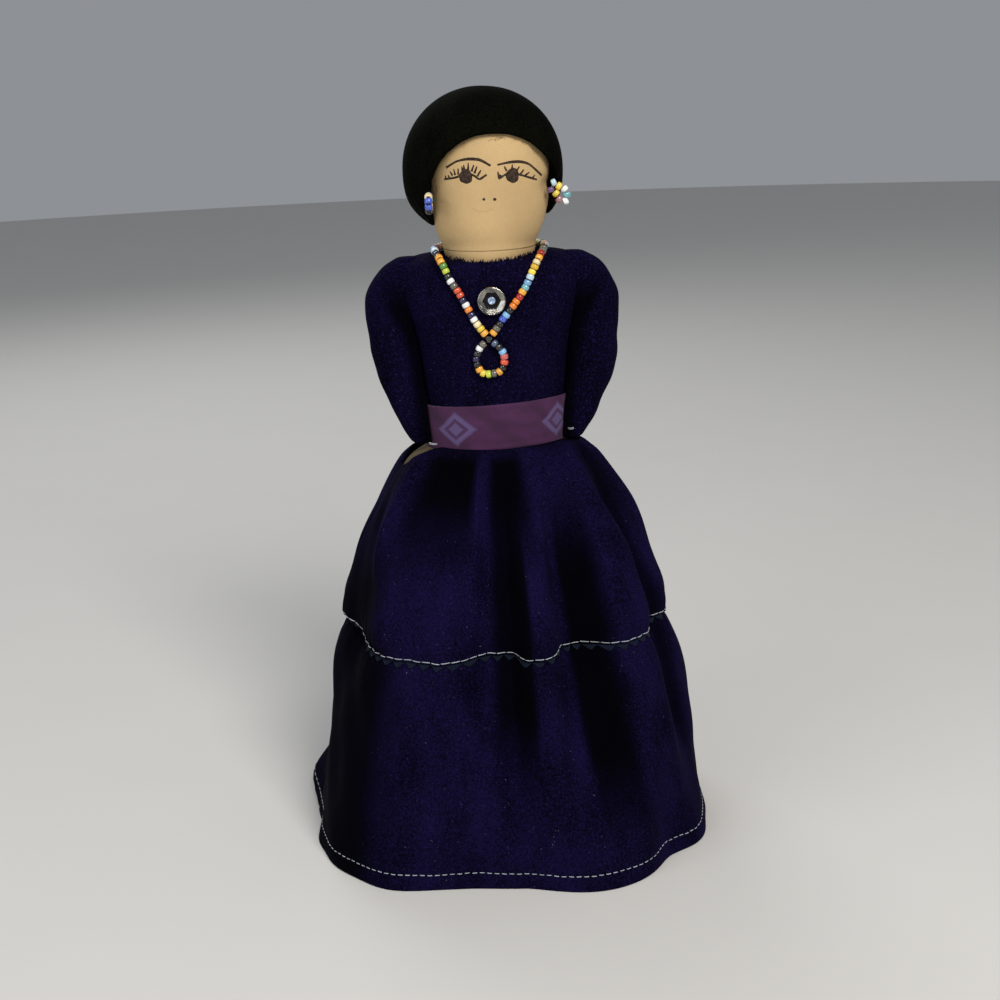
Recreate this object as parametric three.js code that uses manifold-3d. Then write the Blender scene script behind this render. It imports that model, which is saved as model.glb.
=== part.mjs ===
// A standing cloth doll: a stuffed muslin body and head, a padded hair cap, a velvet dress with a
// two-tier gathered skirt, a ribbon sash, a bead necklace, bead earrings and a shank button.
// Millimetres, +Z up. The face looks towards -Y, and the origin is on the floor under the skirt.

import * as THREE from 'three';
import { mergeVertices } from 'three/addons/utils/BufferGeometryUtils.js';
import Module from 'manifold-3d';

const wasm = await Module();
wasm.setup();

// Cloth thicknesses and the gap kept between pieces that touch
const GAP = 0.3;
const COVER_CLOTH = 1.0;
const SKIRT_CLOTH = 1.4;
const SASH_CLOTH = 0.8;
const TRIM_CLOTH = 0.7;
const THREAD = 0.8;

// Skirt
const LOWER_TIER_DROP = 101;
const UPPER_TIER_DROP = 83;
const HEM_WIDTH = 183;
const HEM_DEPTH = 167;
const TIER_WIDTH = 141;
const TIER_DEPTH = 131;
const TIER_TUCK = 5;
const HEM_SQUARENESS = 0.065;
const FOLD_SHARPNESS = 2.2;
const UPPER_FULLNESS = 0.52;
const LOWER_FULLNESS = 0.7;
const TRIM_ABOVE_TIER = 2;
const TRIM_VALLEY = 2;
const TRIM_POINT = 4.5;
const TRIM_POINTS = 60;
const TIER_STITCH_UP = 1.5;
const HEM_STITCH_UP = 6.5;

// Shares of a tier's drop between which folds grow or fade
const TIER_FOLD_GROWS = [0.1, 0.6];
const TIER_FOLD_FADES = [0.15, 0.95];
const HEM_FOLD_GROWS = [0.2, 0.9];

// Ridges and valleys round the skirt: degrees from the front, and how far each stands out
const TIER_FOLDS = [
  [-92, 2], [-66, -4], [-35, 6.5], [3.5, -8], [17, 3], [33, -8], [52, 6], [67, -6], [84, 2.5],
  [101, -4.5], [118, 4], [133, -5], [148, 3.5], [163, -4.5], [178, 5], [193, -6], [208, 4],
  [223, -4.5], [238, 4.5], [253, -4.5],
];
const HEM_FOLDS = [
  [-100, 1.5], [-80, 0], [-45, 6], [4, 0.5], [26, 4.5], [52, -1.5], [82, 1.5], [104, -2], [130, 4],
  [158, -2], [182, 1.9], [205, -2], [230, 4], [248, -1.5],
];

// Dress bodice, sleeves and sash
const BODICE_HEIGHT = 84;
const BODICE_TUCK = 1.5;
const WAIST_WIDTH = 62;
const WAIST_DEPTH = 46;
const CHEST_WIDTH = 73;
const CHEST_DEPTH = 49.4;
const SHOULDER_WIDTH = 88;
const SHOULDER_DEPTH = 47.6;
const SHOULDER_TOP_WIDTH = 72;
const SHOULDER_TOP_DEPTH = 44;
const SLEEVE_WIDTH = 20.4;
const SLEEVE_DEPTH = 23.4;
const SHOULDER_DROP = 2;
const SHOULDER_SINK = 15.3;
const WRIST_FORWARD = 4;
const SHOULDER_FORWARD = 2;
const SASH_WIDTH = 20;
const SASH_LAP = 22;
const TACK_HEIGHT = 4;
const TACK_START = 0.9;

// Under-body and legs
const HIP_WIDTH = 86;
const HIP_DEPTH = 62;
const SEAT_WIDTH = 72;
const SEAT_DEPTH = 52;
const HIP_PIVOT_HEIGHT = 150;
const LEG_SPACING = 36;
const LEG_WIDTH = 26;
const ANKLE_WIDTH = 19;
const FOOT_WIDTH = 21;
const FOOT_LENGTH = 34;
const FOOT_FORWARD = 6;
const SOLE_CLEARANCE = 2;
const LEG_FILL_HOLE = 12;

// Neck, head and hair
const NECK_SHOW = 4;
const NECK_BALL = 40.8;
const NECK_FILL_HOLE = 24;
const HEAD_HEIGHT = 62;
const HEAD_WIDTH = 53;
const HEAD_DEPTH = 51;
const CHIN_WIDTH = 44.6;
const CHIN_DEPTH = 42.8;
const HEAD_FULLEST = 0.5;
const CROWN_FULLNESS = 2.4;
const CHEEK_FULLNESS = 0.8;
const HAIR_WIDTH = 70;
const HAIR_DEPTH = 66;
const HAIR_THICKNESS = 6;
const HAIR_DROP = 67;
const HAIR_SIDE_SHIFT = -2;
const HAIR_BACK_SHIFT = 2.5;
const FACE_OPENING_WIDTH = 53;
const FACE_OPENING_SHIFT = 2;
const FACE_OPENING_ARCH = 26;
const HAIRLINE_DROP = 14.5;
const FACE_OPENING_BACK = -6;

// Beads and button
const BEAD = 3.5;
const BEAD_GROOVE = 1.6;
const BEAD_PITCH = 2.4;
const KNOT = 3;
const EARRING_BEADS = 8;
const RIGHT_EARRING_X = -25.7;
const RIGHT_EARRING_DROP = 42;
const LEFT_EARRING_X = 30.7;
const LEFT_EARRING_DROP = 38;
const BUTTON = 12.7;
const BUTTON_THICKNESS = 2.4;
const BUTTON_BEVEL = 1;
const BUTTON_RECESS = 6.4;
const BUTTON_RECESS_DEPTH = 1.2;
const BUTTON_RECESS_SIDES = 6;
const BUTTON_DROP = 18;
const BUTTON_SHANK = 4.4;
const BUTTON_SHANK_LENGTH = 4.4;
const BUTTON_EYE = 2.2;

// Levels up the doll
const TIER_Z = LOWER_TIER_DROP;
const WAIST_Z = TIER_Z + UPPER_TIER_DROP;
const SHOULDER_Z = WAIST_Z + BODICE_HEIGHT;
const CHIN_Z = SHOULDER_Z + NECK_SHOW;
const CROWN_Z = CHIN_Z + HEAD_HEIGHT;
const SKIRT_TOP_Z = WAIST_Z - GAP;
const BODICE_BOTTOM_Z = WAIST_Z - BODICE_TUCK;

// Layers at the tier seam, measured out from the skirt's mean surface
const TRIM_OFFSET = GAP;
const UPPER_TIER_OFFSET = TRIM_OFFSET + TRIM_CLOTH + GAP;
const UPPER_TIER_OUTER = UPPER_TIER_OFFSET + SKIRT_CLOTH;
const SASH_OUTER = GAP + SASH_CLOTH;
const BEAD_OFFSET = GAP + BEAD / 2;

// Facets round each kind of piece
const FOLD_STEPS = 3;
const SKIRT_STEPS = FOLD_STEPS * TIER_FOLDS.length;
const BODY_STEPS = 24;
const BUTTON_STEPS = 24;
const BALL_STEPS = 20;
const HIP_STEPS = 18;
const LIMB_STEPS = 14;
const LEG_STEPS = 12;
const SMALL_STEPS = 12;
const ARCH_STEPS = 10;
const THREAD_STEPS = 8;
const BEAD_STEPS = 5;
const BEAD_RINGS = 2;
const LEAN_STEP = 0.25;

// Working room for cuts that pass right through a piece, and corners this near are one corner
const THROUGH = 200;
const OPEN_END_PAST = 0.08;
const SAME_CORNER = 1e-4;
const TURN = 2 * Math.PI;

const doll = new THREE.Group();
doll.name = 'cloth_doll';

// Closed solid from a geometry whose shared corners are merged
function toSolid(geometry) {
  const bare = geometry.clone();
  bare.deleteAttribute('normal');
  bare.deleteAttribute('uv');
  const merged = mergeVertices(bare, SAME_CORNER);
  const corners = merged.index.array;
  const triangles = [];
  for (let i = 0; i < corners.length; i += 3) {
    const [a, b, c] = corners.slice(i, i + 3);
    if (a !== b && b !== c && c !== a) triangles.push(a, b, c);
  }
  return new wasm.Manifold(new wasm.Mesh({
    numProp: 3,
    vertProperties: Float32Array.from(merged.attributes.position.array),
    triVerts: Uint32Array.from(triangles),
  }));
}

// Turned shape: each section point (across, along) is placed at every angle, angle 0 at the front
function revolve(section, steps, place) {
  const geometry = new THREE.LatheGeometry(section, steps);
  const position = geometry.attributes.position;
  let vertex = 0;
  for (let step = 0; step <= steps; step++) {
    const angle = ((step % steps) / steps) * TURN;
    for (const point of section) {
      const { x, y, z } = place(angle, point.x, point.y);
      position.setXYZ(vertex, x, y, z);
      vertex++;
    }
  }
  return toSolid(geometry);
}

function box(width, depth, height, x, y, z) {
  return toSolid(new THREE.BoxGeometry(width, depth, height).translate(x, y, z));
}

function ball(diameter, x, y, z, steps = BALL_STEPS) {
  const rings = steps / 2;
  const section = [];
  for (let ring = 0; ring <= rings; ring++) {
    const tilt = (ring / rings) * Math.PI;
    section.push(new THREE.Vector2((diameter / 2) * Math.sin(tilt), (-diameter / 2) * Math.cos(tilt)));
  }
  section[0].x = 0;
  section[rings].x = 0;
  const place = (angle, across, along) =>
    new THREE.Vector3(x + across * Math.sin(angle), y - across * Math.cos(angle), z + along);
  return revolve(section, steps, place);
}

// Socket for a ball: its flat facets keep the gap from the ball however the ball turns
function socket(diameter, x, y, z) {
  const facetReach = Math.cos(Math.PI / BALL_STEPS) ** 2;
  return ball((diameter + 2 * GAP) / facetReach, x, y, z);
}

// Round bar along Z
function bar(diameter, length, x, y, z) {
  const geometry = new THREE.CylinderGeometry(diameter / 2, diameter / 2, length, SMALL_STEPS);
  return toSolid(geometry.rotateX(Math.PI / 2).translate(x, y, z));
}

// Smooth curve through [share, value] stations
function smooth(stations) {
  const shares = stations.map((station) => station[0]);
  const values = stations.map((station) => station[1]);
  const curve = new THREE.CubicInterpolant(shares, values, 1);
  return (share) => curve.evaluate(THREE.MathUtils.clamp(share, 0, 1))[0];
}

// Rounded end: 1 at the start of the dome, 0 at its tip, fuller than an ellipse above 2
function dome(share, fullness) {
  return Math.max(0, 1 - share ** fullness) ** (1 / fullness);
}

// Stuffed form as a solid, grown or shrunk all round; an open end isn't shrunk, and runs past by a share
function stuffed(form, grow, past = 0) {
  const bottom = form.bottom - (grow < 0 && form.open === 'bottom' ? 0 : grow);
  const top = form.top + (grow < 0 && form.open === 'top' ? 0 : grow);
  const first = form.open === 'bottom' ? -past : 0;
  const last = form.open === 'top' ? 1 + past : 1;
  const section = form.levels.map((share) => new THREE.Vector2(1, share));
  if (first < 0) section.unshift(new THREE.Vector2(1, first));
  if (last > 1) section.push(new THREE.Vector2(1, last));
  section.unshift(new THREE.Vector2(0, first));
  section.push(new THREE.Vector2(0, last));
  return revolve(section, form.steps, (angle, side, share) => {
    const { x, y, wide, deep } = form.outline(THREE.MathUtils.clamp(share, 0, 1));
    return new THREE.Vector3(
      x + side * (wide + grow) * Math.sin(angle),
      y - side * (deep + grow) * Math.cos(angle),
      bottom + share * (top - bottom),
    );
  });
}

// Cloth cover of a form, hollow, and the stuffing that fills it
function cover(form) {
  return stuffed(form, 0).subtract(stuffed(form, -COVER_CLOTH, OPEN_END_PAST));
}

function filling(form) {
  return stuffed(form, -COVER_CLOTH - GAP);
}

// Half sizes of a form at a height, and the place on its front surface at x, grown by an offset
function outlineAt(form, z) {
  return form.outline(THREE.MathUtils.clamp((z - form.bottom) / (form.top - form.bottom), 0, 1));
}

function frontOf(form, x, z, offset = 0) {
  const { x: middle, y, wide, deep } = outlineAt(form, z);
  const reach = Math.max(0, 1 - ((x - middle) / (wide + offset)) ** 2);
  return y - (deep + offset) * Math.sqrt(reach);
}

function addPiece(name, solid, look) {
  const mesh = solid.getMesh();
  const geometry = new THREE.BufferGeometry();
  geometry.setAttribute('position', new THREE.BufferAttribute(Float32Array.from(mesh.vertProperties), 3));
  geometry.setIndex(new THREE.BufferAttribute(Uint32Array.from(mesh.triVerts), 1));
  geometry.computeVertexNormals();
  const piece = new THREE.Mesh(geometry, new THREE.MeshStandardMaterial(look));
  piece.name = name;
  doll.add(piece);
}

// Looks
const MUSLIN = { color: 0xbda073, roughness: 0.9, metalness: 0 };
const DRESS_VELVET = { color: 0x15103a, roughness: 0.85, metalness: 0 };
const HAIR_VELVET = { color: 0x0c0c09, roughness: 0.8, metalness: 0 };
const SASH_COTTON = { color: 0x432747, roughness: 0.75, metalness: 0 };
const TRIM_TEAL = { color: 0x22384a, roughness: 0.8, metalness: 0 };
const WHITE_THREAD = { color: 0xb8bcc0, roughness: 0.7, metalness: 0 };
const STUFFING = { color: 0xe8e4d8, roughness: 1, metalness: 0 };
const BEAD_GLASS = { color: 0xd8a238, roughness: 0.2, metalness: 0 };
const BUTTON_METAL = { color: 0x8a8678, roughness: 0.25, metalness: 1 };
const DOME_METAL = { color: 0x9fb4cc, roughness: 0.25, metalness: 1 };

// Skirt surface: gathered puff by tier, with folds that deepen away from the waist
const WAIST_OFFSET = 2 * GAP - UPPER_TIER_OFFSET;
const SKIRT_LEVELS = [
  0,
  HEM_STITCH_UP,
  ...[0.55, 0.25, 0.06, 0].map((share) => TIER_Z - share * LOWER_TIER_DROP),
  TIER_Z + TIER_TUCK,
  ...[0.75, 0.45, 0.2, 0.06, 0].map((share) => SKIRT_TOP_Z - share * (SKIRT_TOP_Z - TIER_Z)),
];

function skirtHalf(z, waistSize, tierSize, hemSize) {
  const waist = waistSize / 2 + WAIST_OFFSET;
  if (z > TIER_Z) {
    const below = (SKIRT_TOP_Z - z) / (SKIRT_TOP_Z - TIER_Z);
    return waist + (tierSize / 2 - waist) * below ** UPPER_FULLNESS;
  }
  const below = (TIER_Z - z) / LOWER_TIER_DROP;
  return tierSize / 2 + ((hemSize - tierSize) / 2) * below ** LOWER_FULLNESS;
}

// A list of folds with its last before its first, and its first again after its last
function joinedRound(folds) {
  const [firstAt, firstOut] = folds[0];
  const [lastAt, lastOut] = folds.at(-1);
  return [[lastAt - 360, lastOut], ...folds, [firstAt + 360, firstOut]];
}

// How far a list of folds stands out at an angle: broad on its ridges, narrow in its valleys
function foldAt(folds, degrees) {
  const { euclideanModulo, lerp, smoothstep } = THREE.MathUtils;
  const first = folds[0][0];
  const turned = first + euclideanModulo(degrees - first, 360);
  const round = joinedRound(folds);
  const after = round.findIndex(([at]) => at > turned);
  const [start, startOut] = round[after - 1];
  const [end, endOut] = round[after];
  const share = (turned - start) / (end - start);
  const fromRidge = smoothstep(startOut > endOut ? share : 1 - share, 0, 1) ** FOLD_SHARPNESS;
  return lerp(Math.max(startOut, endOut), Math.min(startOut, endOut), fromRidge);
}

// Corners stand on every ridge and valley of the tier seam, and evenly between them
function cornerDegrees(step) {
  const within = step % SKIRT_STEPS;
  const fold = Math.floor(within / FOLD_STEPS) + 1;
  const round = joinedRound(TIER_FOLDS);
  return THREE.MathUtils.lerp(round[fold][0], round[fold + 1][0], (within % FOLD_STEPS) / FOLD_STEPS);
}

function foldOut(degrees, z) {
  const { smoothstep } = THREE.MathUtils;
  const belowWaist = (SKIRT_TOP_Z - z) / (SKIRT_TOP_Z - TIER_Z);
  const belowTier = (TIER_Z - z) / LOWER_TIER_DROP;
  const grown = smoothstep(belowWaist, ...TIER_FOLD_GROWS);
  const tierShare = grown * (1 - smoothstep(belowTier, ...TIER_FOLD_FADES));
  const hemShare = smoothstep(belowTier, ...HEM_FOLD_GROWS);
  return tierShare * foldAt(TIER_FOLDS, degrees) + hemShare * foldAt(HEM_FOLDS, degrees);
}

function skirtCorner(step, offset, z) {
  const degrees = cornerDegrees(step);
  const angle = THREE.MathUtils.degToRad(degrees);
  const out = offset + foldOut(degrees, z);
  const belowTier = Math.max(0, (TIER_Z - z) / LOWER_TIER_DROP);
  const frontCorner = Math.cos(angle) > 0 ? Math.sin(2 * angle) ** 2 : 0;
  const square = 1 + HEM_SQUARENESS * belowTier ** LOWER_FULLNESS * frontCorner;
  const across = square * skirtHalf(z, WAIST_WIDTH, TIER_WIDTH, HEM_WIDTH) + out;
  const deep = square * skirtHalf(z, WAIST_DEPTH, TIER_DEPTH, HEM_DEPTH) + out;
  return new THREE.Vector3(across * Math.sin(angle), -deep * Math.cos(angle), z);
}

// Skirt point, straight between the facet corners, so that every layer has the same facets
function skirtPoint(angle, offset, z) {
  const step = (angle / TURN) * SKIRT_STEPS;
  const before = Math.floor(step);
  const above = Math.max(1, SKIRT_LEVELS.findIndex((level) => level >= z));
  const low = SKIRT_LEVELS[above - 1];
  const high = SKIRT_LEVELS[above];
  const lower = skirtCorner(before, offset, low).lerp(skirtCorner(before + 1, offset, low), step - before);
  const upper = skirtCorner(before, offset, high).lerp(skirtCorner(before + 1, offset, high), step - before);
  return lower.lerp(upper, (z - low) / (high - low));
}

// Ring of cloth between two offsets, over a list of levels
function skirtRing(levels, inner, outer) {
  const rising = levels.map((z) => new THREE.Vector2(outer, z));
  const falling = levels.map((z) => new THREE.Vector2(inner, z)).reverse();
  return revolve([...rising, ...falling, rising[0]], SKIRT_STEPS, skirtPoint);
}

function addTier(name, levels, inner, outer) {
  const ring = skirtRing(levels, inner, outer);
  const half = (side) => box(2 * THROUGH, THROUGH, 4 * THROUGH, 0, (side * (THROUGH + GAP)) / 2, 0);
  addPiece(`${name}_front`, ring.intersect(half(-1)), DRESS_VELVET);
  addPiece(`${name}_back`, ring.intersect(half(1)), DRESS_VELVET);
}

addTier('skirt_upper', SKIRT_LEVELS.filter((z) => z >= TIER_Z), UPPER_TIER_OFFSET, UPPER_TIER_OUTER);
addTier('skirt_lower', SKIRT_LEVELS.filter((z) => z <= TIER_Z + TIER_TUCK), -SKIRT_CLOTH, 0);

// Zigzag braid caught in the tier seam, with its points hanging below
function makeTrim() {
  const outer = TRIM_OFFSET + TRIM_CLOTH;
  const rising = [0, 1, 2].map((row) => new THREE.Vector2(outer, row));
  const falling = [2, 0].map((row) => new THREE.Vector2(TRIM_OFFSET, row));
  return revolve([...rising, ...falling, rising[0]], 2 * TRIM_POINTS, (angle, offset, row) => {
    const isPoint = Math.round((angle / TURN) * 2 * TRIM_POINTS) % 2 === 1;
    const bottom = TIER_Z - (isPoint ? TRIM_POINT : TRIM_VALLEY);
    return skirtPoint(angle, offset, [bottom, TIER_Z, TIER_Z + TRIM_ABOVE_TIER][row]);
  });
}

addPiece('rickrack_trim', makeTrim(), TRIM_TEAL);

// Line of stitches round the skirt, lying on the cloth
function makeStitches(z, clothOuter) {
  const inner = clothOuter + GAP;
  const crest = [inner + THREAD, z];
  const section = [crest, [inner, z + THREAD / 2], [inner, z - THREAD / 2], crest];
  const points = section.map(([offset, height]) => new THREE.Vector2(offset, height));
  return revolve(points, SKIRT_STEPS, skirtPoint);
}

addPiece('tier_topstitch', makeStitches(TIER_Z + TIER_STITCH_UP, UPPER_TIER_OUTER), WHITE_THREAD);
addPiece('hem_topstitch', makeStitches(HEM_STITCH_UP, 0), WHITE_THREAD);

// Bodice form: waist, chest, full shoulders and a flat top for the neck
const bodiceWide = smooth([
  [0, WAIST_WIDTH / 2],
  [0.58, CHEST_WIDTH / 2],
  [0.9, SHOULDER_WIDTH / 2],
  [1, SHOULDER_TOP_WIDTH / 2],
]);
const bodiceDeep = smooth([
  [0, WAIST_DEPTH / 2],
  [0.58, CHEST_DEPTH / 2],
  [0.9, SHOULDER_DEPTH / 2],
  [1, SHOULDER_TOP_DEPTH / 2],
]);
const bodice = {
  bottom: BODICE_BOTTOM_Z,
  top: SHOULDER_Z,
  open: 'bottom',
  steps: BODY_STEPS,
  levels: [0, 0.2, 0.4, 0.58, 0.72, 0.82, 0.9, 0.96, 1],
  outline: (share) => ({ x: 0, y: 0, wide: bodiceWide(share), deep: bodiceDeep(share) }),
};

// Neck ball, turning in the shoulders and nodding in the head
const neckRoom = () => socket(NECK_BALL, 0, 0, CHIN_Z);
const neckHollow = ball(NECK_BALL - 2 * COVER_CLOTH, 0, 0, CHIN_Z, SMALL_STEPS);
const neckFillHole = bar(NECK_FILL_HOLE, NECK_BALL / 2, 0, 0, CHIN_Z - NECK_BALL / 2);
addPiece('neck_cover', ball(NECK_BALL, 0, 0, CHIN_Z).subtract(neckHollow).subtract(neckFillHole), MUSLIN);
addPiece('neck_stuffing', ball(NECK_BALL - 2 * (COVER_CLOTH + GAP), 0, 0, CHIN_Z, SMALL_STEPS), STUFFING);

// Button on the chest: axis along -Y, seated on the front of the bodice
const BUTTON_Z = SHOULDER_Z - BUTTON_DROP;
const BUTTON_BACK_Y = frontOf(bodice, 0, BUTTON_Z) - 2 * GAP;
const SHANK_FRONT_Y = BUTTON_BACK_Y + GAP;
const SHANK_BACK_Y = SHANK_FRONT_Y + BUTTON_SHANK_LENGTH;
const EYE_Y = SHANK_BACK_Y - BUTTON_EYE / 2 - 2 * GAP;
const BUTTON_POCKET = BUTTON_SHANK + 8 * GAP;

function onButtonAxis(startY) {
  return (angle, across, along) =>
    new THREE.Vector3(across * Math.sin(angle), startY - along, BUTTON_Z - across * Math.cos(angle));
}

function turnButton(points, startY, steps = SMALL_STEPS) {
  const section = points.map(([across, along]) => new THREE.Vector2(across, along));
  return revolve(section, steps, onButtonAxis(startY));
}

function makeButtonDisc() {
  const radius = BUTTON / 2;
  const disc = turnButton([
    [0, 0],
    [radius - BUTTON_BEVEL / 2, 0],
    [radius, BUTTON_BEVEL / 2],
    [radius, BUTTON_THICKNESS - BUTTON_BEVEL],
    [radius - BUTTON_BEVEL, BUTTON_THICKNESS],
    [0, BUTTON_THICKNESS],
  ], BUTTON_BACK_Y, BUTTON_STEPS);
  const reach = BUTTON_RECESS / 2;
  const recess = new THREE.CylinderGeometry(reach, reach, 2 * BUTTON_RECESS_DEPTH, BUTTON_RECESS_SIDES);
  recess.translate(0, BUTTON_BACK_Y - BUTTON_THICKNESS, BUTTON_Z);
  return disc.subtract(toSolid(recess));
}

function makeButtonDome() {
  const radius = BUTTON_RECESS / 2 - BUTTON_BEVEL;
  const floorY = BUTTON_BACK_Y - BUTTON_THICKNESS + BUTTON_RECESS_DEPTH - GAP;
  const section = [[0, 0], [radius, 0]];
  for (const tilt of [30, 60]) {
    const turn = THREE.MathUtils.degToRad(tilt);
    section.push([radius * Math.cos(turn), BUTTON_RECESS_DEPTH * Math.sin(turn)]);
  }
  section.push([0, BUTTON_RECESS_DEPTH]);
  return turnButton(section, floorY);
}

function barAcross(diameter, length, y) {
  const geometry = new THREE.CylinderGeometry(diameter / 2, diameter / 2, length, THREAD_STEPS);
  return toSolid(geometry.rotateZ(Math.PI / 2).translate(0, y, BUTTON_Z));
}

function makeButtonShank() {
  const radius = BUTTON_SHANK / 2;
  const length = BUTTON_SHANK_LENGTH;
  const shank = turnButton([[0, -length], [radius, -length], [radius, 0], [0, 0]], SHANK_FRONT_Y);
  return shank.subtract(barAcross(BUTTON_EYE, 2 * BUTTON_SHANK, EYE_Y));
}

addPiece('button_disc', makeButtonDisc(), BUTTON_METAL);
addPiece('button_dome', makeButtonDome(), DOME_METAL);
addPiece('button_shank', makeButtonShank(), BUTTON_METAL);
addPiece('button_thread', barAcross(THREAD, BUTTON_POCKET - 2 * GAP, EYE_Y), WHITE_THREAD);

// Bodice cover with its neck opening and buttonhole, and the torso stuffing with the shank's pocket
function buttonRoom(diameter, backY) {
  const radius = diameter / 2;
  const deep = backY - BUTTON_BACK_Y;
  const points = [[0, -deep], [radius, -deep], [radius, BUTTON_THICKNESS], [0, BUTTON_THICKNESS]];
  return turnButton(points, BUTTON_BACK_Y);
}

const buttonhole = buttonRoom(BUTTON_SHANK + 2 * GAP, SHANK_BACK_Y + GAP);
const buttonPocket = buttonRoom(BUTTON_POCKET, SHANK_BACK_Y + GAP);
addPiece('bodice', cover(bodice).subtract(neckRoom()).subtract(buttonhole), DRESS_VELVET);
addPiece('torso_stuffing', filling(bodice).subtract(neckRoom()).subtract(buttonPocket), STUFFING);

// Ring on the bodice between two offsets and two heights, over part or all of the way round
function bodiceBand(bottom, top, inner, outer) {
  const section = [[outer, bottom], [outer, top], [inner, top], [inner, bottom], [outer, bottom]];
  const points = section.map(([offset, z]) => new THREE.Vector2(offset, z));
  return revolve(points, BODY_STEPS, (angle, offset, z) => {
    const { wide, deep } = outlineAt(bodice, z);
    return new THREE.Vector3((wide + offset) * Math.sin(angle), -(deep + offset) * Math.cos(angle), z);
  });
}

const SASH_TOP_Z = WAIST_Z + SASH_WIDTH;
addPiece('sash', bodiceBand(WAIST_Z, SASH_TOP_Z, GAP, SASH_OUTER), SASH_COTTON);
const lapBand = bodiceBand(WAIST_Z, SASH_TOP_Z, SASH_OUTER + GAP, SASH_OUTER + GAP + SASH_CLOTH);
const lapRoom = box(SASH_LAP, THROUGH, 4 * THROUGH, 0, THROUGH / 2, 0);
addPiece('sash_back_lap', lapBand.intersect(lapRoom), SASH_COTTON);

// Sleeves: full at the shoulder, drawn in to a wrist that is sewn to the waist
const sleeveTaper = smooth([[0, 0.28], [0.09, 0.49], [0.18, 0.62], [0.36, 0.87], [0.63, 0.99], [0.82, 1.05],
  [0.92, 0.98], [0.98, 0.66], [1, 0.4]]);

// Shares up the sleeve where it clears the sash, meets the chest and sinks into the shoulder
const SASH_CLEAR = 0.25;
const CHEST_AT = 0.6;
const SINK_FROM = 0.63;
const SINK_TO = 0.88;

function sleeveForm(side) {
  const { lerp, smoothstep } = THREE.MathUtils;
  const shoulderSide = SHOULDER_WIDTH / 2 - SHOULDER_SINK;
  return {
    bottom: WAIST_Z + 2 * GAP,
    top: SHOULDER_Z - SHOULDER_DROP,
    open: '',
    steps: LIMB_STEPS,
    levels: [0, 0.09, 0.2, 0.36, 0.5, 0.63, 0.76, 0.86, 0.93, 0.98, 1],
    outline: (share) => {
      const wide = (SLEEVE_WIDTH / 2) * sleeveTaper(share);
      const chestSide = lerp(WAIST_WIDTH, CHEST_WIDTH, Math.min(1, share / CHEST_AT)) / 2;
      const bodiceSide = lerp(chestSide, shoulderSide, smoothstep(share, SINK_FROM, SINK_TO));
      const sashSide = (SASH_OUTER + GAP) * (1 - smoothstep(share, SASH_CLEAR, CHEST_AT));
      return {
        x: side * (bodiceSide + sashSide + wide),
        y: -lerp(WRIST_FORWARD, SHOULDER_FORWARD, share),
        wide,
        deep: (SLEEVE_DEPTH / 2) * sleeveTaper(share),
      };
    },
  };
}

// Thread tack from the sash to the sleeve end, lying in front of both
function makeTack(sleeve, side) {
  const z = WAIST_Z + TACK_HEIGHT;
  const offset = GAP + THREAD / 2;
  const waist = outlineAt(bodice, z);
  const wrist = outlineAt(sleeve, z);
  const sashSide = waist.wide + SASH_OUTER;
  const startX = side * sashSide * TACK_START;
  const startY = frontOf(bodice, startX, z, SASH_OUTER + offset);
  const start = new THREE.Vector3(startX, startY, z);
  const end = new THREE.Vector3(wrist.x, wrist.y - wrist.deep - offset, z);
  return strand(new THREE.LineCurve3(start, end), [[0, THREAD / 2], [1, THREAD / 2]]);
}

// Thread or string of beads along a curve, from [share, radius] rings; no strand runs along the lean
const STRAND_LEAN = new THREE.Vector3(0, 0.2, 1).normalize();

function strand(curve, rings) {
  const section = rings.map(([share, radius]) => new THREE.Vector2(radius, share));
  section.unshift(new THREE.Vector2(0, rings[0][0]));
  section.push(new THREE.Vector2(0, rings[rings.length - 1][0]));
  return revolve(section, BEAD_STEPS, (angle, radius, share) => {
    const along = curve.getTangentAt(share);
    const across = new THREE.Vector3().crossVectors(STRAND_LEAN, along).normalize();
    const over = new THREE.Vector3().crossVectors(along, across);
    return curve.getPointAt(share)
      .addScaledVector(across, radius * Math.sin(angle))
      .addScaledVector(over, -radius * Math.cos(angle));
  });
}

const sashRoom = bodiceBand(WAIST_Z - GAP, SASH_TOP_Z + GAP, -WAIST_DEPTH / 4, SASH_OUTER + GAP);
const bodiceRoom = stuffed(bodice, GAP);

for (const [name, side] of [['right', -1], ['left', 1]]) {
  const sleeve = sleeveForm(side);
  addPiece(`${name}_sleeve`, cover(sleeve).subtract(bodiceRoom).subtract(sashRoom), DRESS_VELVET);
  addPiece(`${name}_arm_stuffing`, filling(sleeve).subtract(bodiceRoom).subtract(sashRoom), STUFFING);
  addPiece(`${name}_wrist_tack`, makeTack(sleeve, side), WHITE_THREAD);
}

// Under-body: hips that hold the skirt out, with a socket for each leg
const hipWide = smooth([[0, SEAT_WIDTH / 2], [0.42, HIP_WIDTH / 2], [1, WAIST_WIDTH / 2 - BODICE_TUCK]]);
const hipDeep = smooth([[0, SEAT_DEPTH / 2], [0.42, HIP_DEPTH / 2], [1, WAIST_DEPTH / 2 - BODICE_TUCK]]);
const underBody = {
  bottom: HIP_PIVOT_HEIGHT,
  top: BODICE_BOTTOM_Z - GAP,
  open: 'top',
  steps: HIP_STEPS,
  levels: [0, 0.12, 0.42, 0.7, 0.88, 1],
  outline: (share) => ({ x: 0, y: 0, wide: hipWide(share), deep: hipDeep(share) }),
};

function legRoom() {
  const room = (side) => socket(LEG_WIDTH, (side * LEG_SPACING) / 2, 0, HIP_PIVOT_HEIGHT);
  return room(-1).add(room(1));
}

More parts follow.
